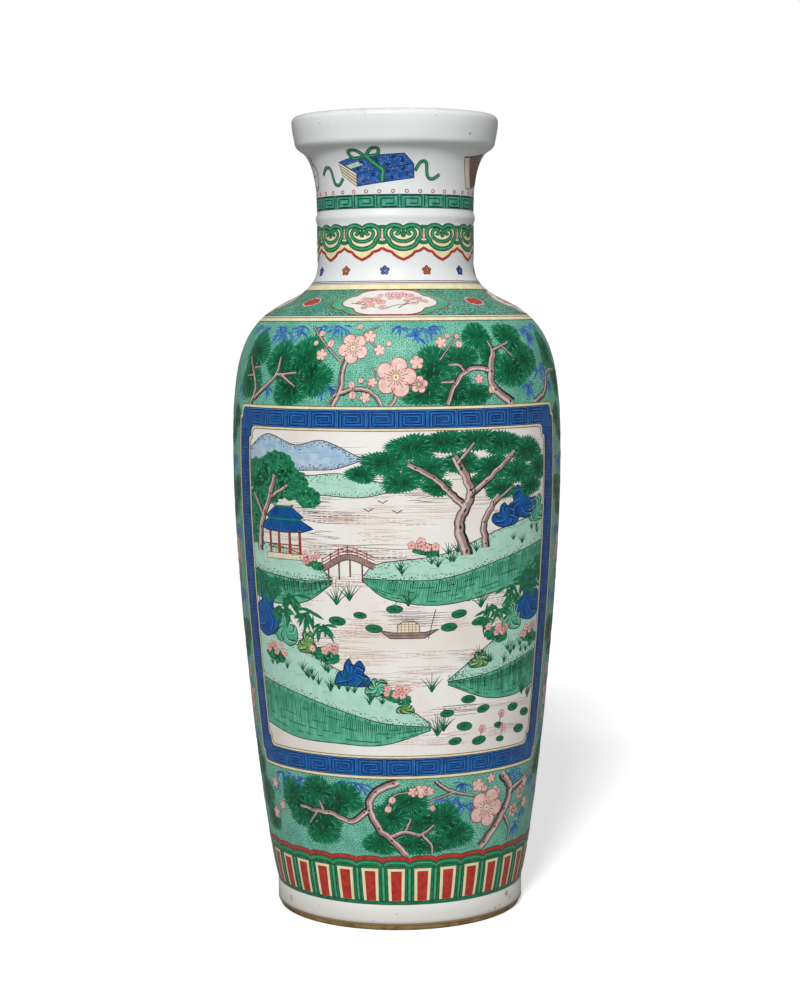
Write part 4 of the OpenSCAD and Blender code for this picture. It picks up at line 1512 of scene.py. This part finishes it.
# A garden rock, in shares of its half width and half height
ROCK = (
    (-1.0, -0.7), (-1.05, -0.2), (-0.7, 0.1), (-0.85, 0.5), (-0.45, 0.95), (-0.1, 0.7), (0.15, 1.0),
    (0.5, 0.7), (0.45, 0.25), (0.85, 0.15), (1.05, -0.25), (0.95, -0.7), (0.3, -0.85), (-0.4, -0.8),
)


def rock(scene, across, up, wide, tall, finish, dice):
    """A garden rock with folds."""
    middle = scene.at(across, up)
    lean = dice.choice((-1, 1))
    spread = []
    for x, y in ROCK:
        spread.append(middle + Vector((lean * wide * x, tall * y)) * dice.uniform(0.9, 1.1))
    rim = smooth_ring(spread)
    scene.wash(rim, finish)
    scene.above()
    scene.edge(rim, 0.55, DARK)
    fold = DEEP_BLUE if finish is BLUE else NEEDLE
    light = BAMBOO if finish is BLUE else BANK
    for k in range(1, len(spread), 2):
        start = middle.lerp(spread[k], 0.9)
        bend = middle.lerp(spread[(k + 1) % len(spread)], 0.62)
        end = middle.lerp(spread[(k + 2) % len(spread)], 0.25)
        path = smooth_path([start, bend, end])
        scene.stroke(path, 0.9, fold, 0.2)
        scene.stroke(path, 0.5, light, 0.15, aside=0.9)


def canopy(scene, clumps, dice):
    """Broad-leaved foliage: scalloped patches covered with dabs of leaf."""
    places = [(scene.at(across, up), wide, tall) for across, up, wide, tall in clumps]
    scene.above()
    for middle, wide, tall in places:
        count = 2 * max(4, round((wide + tall) * 0.6))
        rim = []
        for k in range(count):
            reach = (1.05 if k % 2 else 0.93) * dice.uniform(0.96, 1.05)
            rim.append(middle + swing(wide, tall, tau * k / count) * reach)
        scene.wash(smooth_ring(rim, 1.4), LEAF)
    scene.above()
    for middle, wide, tall in places:
        for _ in range(round(wide * tall * 0.6)):
            angle, reach = dice.uniform(0, tau), dice.uniform(0, 0.98) ** 0.5
            spot = middle + swing(wide * reach, tall * reach, angle)
            finish = NEEDLE if dice.random() < 0.68 else FRET_GREEN
            scene.shape(oval(spot, 0.4, 0.95, dice.uniform(0, pi), 6), finish)


def bush(scene, across, up, size, dice):
    """A low bush with pink flowers."""
    scene.layer(FOLIAGE_LAYER)
    beside = (across + 0.05, up - 0.012, 0.8 * size, 0.5 * size)
    canopy(scene, ((across, up, size, 0.6 * size), beside), dice)
    for _ in range(6):
        scene.layer(FOLIAGE_LAYER + 3)
        away = Vector((dice.uniform(-1, 1.5) * size, dice.uniform(0, 0.8) * size))
        rose(scene, scene.at(across, up) + away, dice.uniform(1.8, 2.7), dice.uniform(0, 1))


def tuft(scene, middle, size, dice, count):
    """Blades that rise from one point."""
    for k in range(count):
        lean = (k - (count - 1) / 2) / count
        tip = middle + Vector((size * lean * 1.3, size * dice.uniform(0.7, 1.1) * (1 - abs(lean) * 0.7)))
        bend = middle.lerp(tip, 0.5) + Vector((-0.12 * size * lean, 0))
        scene.stroke(smooth_path([middle, bend, tip], 2.4), 0.8, LEAF if k % 2 else NEEDLE, 0.15)


def pavilion(scene, across, up):
    foot = scene.at(across, up)
    scene.patch(foot, ((-15, -1.6), (15, -1.6), (14, 1.6), (-14, 1.6)), CREAM, BROWN)
    for x in (-11, -4, 4, 11):
        scene.rule(foot, ((x, 1.6), (x, 15)), 1.7, DARK)
    for height in (4.6, 6.6):
        scene.rule(foot, ((-11, height), (11, height)), 0.6, BROWN)
    scene.above()
    for x in (-11, -4, 4, 11):
        scene.rule(foot, ((x, 1.6), (x, 15)), 1.1, RED)
    for k in range(-9, 10, 2):
        scene.rule(foot, ((k, 1.8), (k, 6.6)), 0.4, ORANGE)
    scene.above()
    eaves = ((-20, 16), (-13, 14), (0, 13.4), (13, 14), (20, 16), (12, 20.5), (-12, 20.5))
    scene.patch(foot, eaves, BLUE, DARK, 0.5)
    crown = ((-14, 22), (-9, 20.6), (9, 20.6), (14, 22), (6, 27.6), (-6, 27.6))
    scene.patch(foot, crown, BLUE, DARK, 0.5)
    scene.above()
    for k in range(-11, 12, 2):
        scene.rule(foot, ((k * 1.3, 14.6), (k * 0.95, 20)), 0.34, DEEP_BLUE)
        scene.rule(foot, ((k * 0.85, 21.4), (k * 0.5, 27)), 0.34, DEEP_BLUE)
    scene.rule(foot, ((-7.5, 28.6), (-5, 27.8), (5, 27.8), (7.5, 28.6)), 1.0, LEAF)
    scene.rule(foot, ((-12.5, 20.6), (12.5, 20.6)), 0.9, LEAF)


def bridge(scene, start, end):
    """An arched plank bridge on posts, with a rail."""
    first, last = scene.at(*start), scene.at(*end)
    arch = smooth_path([first, first.lerp(last, 0.5) + Vector((0, 6)), last], 1.4)
    for point in arch[3:-3:5]:
        scene.stroke(straight_path([point, point - Vector((0, 11))]), 0.9, BROWN)
    scene.stroke(arch, 3.6, DARK)
    scene.above()
    scene.stroke(arch, 2.8, BARK)
    scene.above()
    for before, after in zip(arch, arch[1:]):
        run = (after - before).normalized()
        across = Vector((-run.y, run.x)) * 1.4
        scene.stroke([before - across, before + across], 0.26, BROWN)
    for height in (3.4, 5.2):
        scene.stroke([point + Vector((0, height)) for point in arch], 0.5, RED_LINE)
    for point in arch[::4]:
        scene.stroke(straight_path([point + Vector((0, 1.4)), point + Vector((0, 6.2))]), 0.6, RED_LINE)


def boat(scene, across, up):
    middle = scene.at(across, up)
    scene.patch(middle, ((-16, 1.6), (-10, -2.8), (9, -2.8), (17, 2), (9, 0.4), (-9, 0.4)), BARK, DARK, 0.5)
    scene.rule(middle, ((-12, -1), (12, -1)), 0.3, DARK)
    scene.patch(middle, ((-6, 0.4), (-6, 4.6), (-3, 6.4), (3, 6.4), (6, 4.6), (6, 0.4)), CREAM, BROWN, 0.5)
    for k in range(-4, 5, 2):
        scene.rule(middle, ((k, 0.6), (k, 6)), 0.26, BROWN)
    for height in (2, 3.6, 5):
        scene.rule(middle, ((-5.6, height), (5.6, height)), 0.2, BROWN)
    scene.rule(middle, ((11, -3.4), (15, 13)), 0.5, BROWN)


def lotus(scene, across, up, dice):
    middle = scene.at(across, up)
    wide = dice.uniform(3.2, 5.2)
    pad = oval(middle, 0.48 * wide, wide, dice.uniform(-0.15, 0.15), 14)
    scene.wash(pad, LEAF)
    scene.above()
    scene.edge(pad, FINE, DARK)
    for k in range(8):
        rib = [middle, middle + swing(0.85 * wide, 0.4 * wide, tau * k / 8)]
        scene.stroke(straight_path(rib), 0.26, NEEDLE)
    if dice.random() < 0.5:
        stalk = middle + Vector((1.8, 6.4))
        scene.stroke(straight_path([middle, stalk]), 0.5, LEAF)
        rose(scene, stalk, 2.6, dice.uniform(0, 1))


def make_panel_ground(side, turn, dice):
    scene = Scenery(side, "_panel", turn)
    round_band(scene, scene.low, scene.high, WASH, PANEL_DEG)
    scene.layer(2)
    water(scene, dice)
    scene.done("panel_wash_enamel", side + "_panel_enamel")


# Land with a cliff, as the lines along its top, its front edge and the cliff's foot
LAND = (
    (((1, 0.74), (0.6, 0.69), (0.25, 0.625), (-0.1, 0.6), (-0.2, 0.56)),
     ((1, 0.645), (0.6, 0.595), (0.25, 0.55), (-0.05, 0.55), (-0.2, 0.555)),
     ((1, 0.545), (0.6, 0.5), (0.25, 0.47), (-0.05, 0.49), (-0.2, 0.545))),
    (((-1, 0.645), (-0.8, 0.645), (-0.55, 0.615), (-0.38, 0.55)),
     ((-1, 0.56), (-0.8, 0.55), (-0.56, 0.54), (-0.38, 0.545)),
     ((-1, 0.475), (-0.8, 0.46), (-0.56, 0.475), (-0.38, 0.535))),
    (((-1, 0.37), (-0.7, 0.345), (-0.4, 0.275), (-0.1, 0.205), (0.2, 0.1)),
     ((-1, 0.215), (-0.7, 0.185), (-0.4, 0.145), (-0.1, 0.105), (0.2, 0.09)),
     ((-1, 0.07), (-0.7, 0.04), (-0.4, 0.035), (-0.1, 0.035), (0.2, 0.08))),
    (((1, 0.44), (0.8, 0.41), (0.56, 0.335), (0.3, 0.235)),
     ((1, 0.3), (0.8, 0.275), (0.56, 0.245), (0.3, 0.23)),
     ((1, 0.19), (0.8, 0.165), (0.56, 0.17), (0.3, 0.22))),
)
# Rocks, as places, half widths, half heights and finishes
ROCKS = (
    (0.66, 0.735, 9, 7, BLUE), (0.8, 0.77, 11, 10, BLUE), (0.94, 0.745, 8, 8, CLIFF),
    (-0.9, 0.44, 10, 18, BLUE), (-0.73, 0.385, 8, 11, CLIFF), (-0.57, 0.345, 6, 7, MOSS),
    (-0.28, 0.255, 10, 8, BLUE), (-0.13, 0.215, 7, 5.5, CLIFF), (0.9, 0.475, 10, 15, BLUE),
    (0.74, 0.42, 7, 9, CLIFF), (0.5, 0.29, 6, 5, MOSS), (0.04, 0.155, 5, 4, MOSS),
)
# Places of the lotuses
LOTUSES = (
    (0.3, 0.13), (0.42, 0.085), (0.55, 0.135), (0.68, 0.075), (0.8, 0.125), (0.36, 0.04), (0.53, 0.035),
    (0.88, 0.05), (0.93, 0.1), (0.7, 0.03), (0.44, 0.17), (-0.22, 0.44), (-0.36, 0.42), (-0.14, 0.4),
    (0.36, 0.44), (0.48, 0.41), (0.3, 0.4), (-0.02, 0.46),
)
# Places of the far birds, and the line of their wings in millimetres
BIRDS = ((-0.08, 0.785), (-0.16, 0.76), (0.0, 0.755))
WINGS = ((-2.6, 1.1), (-0.7, 0.3), (0, -0.5), (0.8, 0.4), (2.7, 1.3))


def make_shore(side, turn, flip, dice):
    """Hills, banks, rocks, a pavilion, a bridge and a boat."""
    scene = Scenery(side, "_shore", turn, flip)
    scene.layer(FAR_LAYER - 2)
    bank(scene, ((-1, 0.94), (-0.82, 0.985), (-0.6, 0.955), (-0.42, 0.97), (-0.2, 0.92)),
         ((-1, 0.87), (-0.7, 0.875), (-0.5, 0.88), (-0.35, 0.885), (-0.2, 0.91)), dice, HAZE)
    scene.layer(FAR_LAYER)
    bank(scene, ((-1, 0.865), (-0.8, 0.9), (-0.55, 0.865), (-0.3, 0.87), (0.02, 0.83)),
         ((-1, 0.8), (-0.7, 0.8), (-0.45, 0.805), (-0.2, 0.8), (0.02, 0.825)), dice)
    for top, low, floor_line in LAND:
        scene.layer(CLIFF_LAYER)
        cliff(scene, low, floor_line, dice)
        scene.layer(NEAR_LAYER)
        bank(scene, top, low, dice)
    scene.layer(STANDING_LAYER)
    bridge(scene, (-0.44, 0.58), (-0.13, 0.59))
    scene.layer(STANDING_LAYER)
    pavilion(scene, -0.7, 0.61)
    for across, up, wide, tall, finish in ROCKS:
        scene.layer(STANDING_LAYER)
        rock(scene, across, up, wide, tall, finish, dice)
    scene.layer(FAR_LAYER)
    boat(scene, 0.06, 0.385)
    for across, up in LOTUSES:
        scene.layer(FAR_LAYER)
        lotus(scene, across, up, dice)
    for across, up in BIRDS:
        scene.rule(scene.at(across, up), WINGS, 0.45, DARK)
    scene.done("panel_wash_enamel")


# Limbs of the broad-leaved tree and of the pines
LEAFY_LIMBS = (
    (3.6, 2.0, ((-0.92, 0.62), (-0.9, 0.7), (-0.82, 0.78), (-0.76, 0.86))),
    (2.0, 1.0, ((-0.87, 0.73), (-0.96, 0.8))),
    (2.0, 1.0, ((-0.8, 0.79), (-0.66, 0.83))),
)
PINE_LIMBS = (
    (5.0, 3.0, ((0.4, 0.62), (0.35, 0.72), (0.42, 0.81), (0.32, 0.92))),
    (3.0, 1.6, ((0.38, 0.77), (0.22, 0.85), (0.06, 0.9))),
    (2.8, 1.4, ((0.41, 0.8), (0.58, 0.87), (0.72, 0.93))),
    (3.4, 1.8, ((0.52, 0.64), (0.51, 0.72), (0.6, 0.8))),
    (1.8, 0.9, ((0.34, 0.9), (0.44, 0.96))),
    (1.6, 0.8, ((0.56, 0.77), (0.7, 0.82))),
)
# Foliage of both, as places, half widths and half heights
PINE_CLUMPS = (
    (-0.07, 0.905, 13, 7), (0.08, 0.95, 14, 7.5), (0.26, 0.965, 14, 6.5), (0.46, 0.97, 14, 6),
    (0.64, 0.955, 14, 7), (0.83, 0.93, 13, 7.5), (0.94, 0.875, 9, 7), (0.16, 0.885, 13, 7),
    (0.36, 0.9, 12, 6.5), (0.56, 0.885, 13, 7), (0.75, 0.865, 12, 6.5), (0.02, 0.845, 11, 6),
    (0.62, 0.815, 11, 6), (0.86, 0.82, 10, 6), (0.22, 0.83, 9, 5), (-0.2, 0.87, 9, 5),
    (0.48, 0.84, 8, 4.5),
)
LEAFY_CLUMPS = (
    (-0.95, 0.76, 11, 10), (-0.82, 0.825, 14, 10), (-0.64, 0.835, 12, 9), (-0.92, 0.86, 12, 9),
    (-0.74, 0.89, 13, 8), (-0.52, 0.795, 8, 6), (-0.97, 0.68, 7, 7),
)
# Sprays of green bamboo and bushes, as places and sizes
GROVE = (
    (-0.96, 0.56, 15), (-0.84, 0.545, 16), (-0.7, 0.5, 15), (-0.56, 0.455, 13), (-0.46, 0.41, 11),
    (-0.76, 0.455, 12), (0.97, 0.6, 15), (0.86, 0.575, 16), (0.72, 0.52, 14), (0.6, 0.47, 12),
    (0.54, 0.425, 9), (0.9, 0.53, 12),
)
BUSHES = (
    (-0.46, 0.315, 7), (0.6, 0.37, 7), (-0.02, 0.19, 6), (0.14, 0.645, 6), (0.9, 0.35, 7),
    (-0.86, 0.3, 7), (-0.52, 0.6, 5),
)
# Places of the reeds
REEDS = (
    (0.24, 0.06), (0.28, 0.075), (0.95, 0.145), (0.88, 0.16), (-0.36, 0.47), (-0.28, 0.485), (0.06, 0.47),
    (0.5, 0.455), (0.2, 0.2),
)
# Grass along the banks: a count, the ends of its run, the line it follows and how far it strays
GRASS = (
    (26, -0.95, 0.0, 0.15, -0.12, -0.01, 0.06),
    (14, 0.45, 0.96, 0.235, 0.07, -0.01, 0.04),
    (14, 0.0, 0.95, 0.56, 0.1, 0, 0.04),
)


def make_trees(side, turn, flip, dice):
    """Pines, broad-leaved trees, bamboo, bushes and reeds."""
    scene = Scenery(side, "_trees", turn, flip)
    scene.layer(FOLIAGE_LAYER)
    clumps = [(*scene.place(across, up), wide, tall) for across, up, wide, tall in PINE_CLUMPS]
    pines(scene, clumps, dice)
    scene.layer(FOLIAGE_LAYER)
    canopy(scene, LEAFY_CLUMPS, dice)
    for limbs in (LEAFY_LIMBS, PINE_LIMBS):
        scene.layer(LIMB_LAYER)
        placed = []
        for wide, thin, points in limbs:
            placed.append((wide, thin, [scene.place(*point) for point in points]))
        branches(scene, placed, dice)
    for across, up, size in GROVE:
        scene.layer(FOLIAGE_LAYER)
        leaf_spray(scene, scene.at(across, up), size, dice, LEAF, NEEDLE, 15)
    for across, up, size in BUSHES:
        bush(scene, across, up, size, dice)
    scene.layer(FOLIAGE_LAYER)
    for count, left, right, rise, slope, dip, lift in GRASS:
        for _ in range(count):
            across = dice.uniform(left, right)
            foot = scene.at(across, rise + slope * across + dice.uniform(dip, lift))
            tuft(scene, foot, dice.uniform(5, 8), dice, 5)
    for across, up in REEDS:
        tuft(scene, scene.at(across, up), dice.uniform(10, 14), dice, 9)
    scene.done("panel_wash_enamel")


def make_panel(side, turn, flip, seed):
    """A lakeside with banks, a pavilion, a bridge, trees and rocks."""
    dice = random.Random(seed)
    make_panel_ground(side, turn, dice)
    make_shore(side, turn, flip, dice)
    make_trees(side, turn, flip, dice)


make_ware()
make_lappets()
make_frieze_ground()
make_friezes()
make_side_strips()
make_frame("front", 0)
make_frame("back", 180)
make_lines()
make_shoulder_band()
make_collar()
make_neck_fret()
make_florets()
make_neck_emblems()
make_panel("front", 0, 1, 3)
make_panel("back", 180, -1, 8)


# Light, floor and camera, as the photograph has them

PLAIN_WHITE = (1.0, 1.0, 1.0, 1.0)


def make_world():
    """White to the camera, and a low even light on the vase."""
    studio = Finish("studio", bpy.data.worlds)
    bpy.context.scene.world = studio.owner
    soft = studio.add("Background", {}, {"Color": PLAIN_WHITE, "Strength": 0.16})
    white = studio.add("Background", {}, {"Color": PLAIN_WHITE, "Strength": 1.0})
    seen = studio.add("LightPath", {}, {}, "Is Camera Ray")
    shader = studio.add("MixShader", {}, {0: seen, 1: soft, 2: white})
    studio.add("OutputWorld", {}, {"Surface": shader})


def make_table():
    """A floor that shows white to the camera where it is lit, keeps the vase's shadow and lights little."""
    sheet = bmesh.new()
    bmesh.ops.create_grid(sheet, x_segments=8, y_segments=8, size=12)
    data = bpy.data.meshes.new("table")
    sheet.to_mesh(data)
    sheet.free()
    paper = Finish("white_paper")
    tint = paper.blend(paper.noise(2.0, 3.0), srgb(246, 246, 246), srgb(242, 242, 242))
    lit = paper.add("BsdfDiffuse", {}, {"Color": tint})
    dim = paper.add("BsdfDiffuse", {}, {"Color": srgb(150, 150, 150)})
    glow = paper.add("Emission", {}, {"Color": PLAIN_WHITE, "Strength": 0.42})
    shown = paper.add("AddShader", {}, {0: lit, 1: glow})
    seen = paper.add("LightPath", {}, {}, "Is Camera Ray")
    shader = paper.add("MixShader", {}, {0: seen, 1: dim, 2: shown})
    paper.add("OutputMaterial", {}, {"Surface": shader})
    data.materials.append(paper.owner)
    table = bpy.data.objects.new("table", data)
    bpy.context.scene.collection.objects.link(table)


def lamp(name, kind, place, target, power, in_gloss=False):
    data = bpy.data.lights.new(name, kind)
    data.energy = power
    piece = bpy.data.objects.new(name, data)
    piece.location = place
    piece.visible_camera = False
    piece.visible_glossy = in_gloss
    piece.rotation_euler = (Vector(target) - Vector(place)).to_track_quat("-Z", "Y").to_euler()
    bpy.context.scene.collection.objects.link(piece)
    return data


CAMERA_DISTANCE = 1.228
CAMERA_HEIGHT = 0.344
CAMERA_TILT_DEG = 5.07
CAMERA_YAW_DEG = -0.074
CAMERA_ROLL_DEG = -0.39
FOCAL_PIXELS = 2120
FRAME_HEIGHT_PIXELS = 1000
SENSOR_MM = 36


def make_camera():
    data = bpy.data.cameras.new("camera")
    data.sensor_width = SENSOR_MM
    data.lens = SENSOR_MM * FOCAL_PIXELS / FRAME_HEIGHT_PIXELS
    camera = bpy.data.objects.new("camera", data)
    camera.location = (0, -CAMERA_DISTANCE, CAMERA_HEIGHT)
    level = Matrix.Rotation(radians(90 - CAMERA_TILT_DEG), 3, "X")
    yaw = Matrix.Rotation(radians(CAMERA_YAW_DEG), 3, "Z")
    roll = Matrix.Rotation(radians(CAMERA_ROLL_DEG), 3, "Z")
    camera.rotation_euler = (yaw @ level @ roll).to_euler()
    bpy.context.scene.collection.objects.link(camera)
    bpy.context.scene.camera = camera


make_world()
make_table()
sun = lamp("key", "SUN", (-0.3, -1.62, 1.12), (0, 0, 0), 2.1)
sun.angle = radians(10)
top_light = lamp("top_light", "AREA", (-0.3, -1.3, 1.35), (0, 0, 0.32), 9, in_gloss=True)
top_light.size = 0.9
fill = lamp("fill", "SUN", (1.5, -1.3, 0.3), (0, 0, 0), 0.45)
fill.angle = radians(50)
back_light = lamp("back_light", "SUN", (0.4, 1.6, 1.0), (0, 0, 0), 0.8)
back_light.angle = radians(60)
make_camera()
bpy.context.scene.view_settings.view_transform = "Standard"
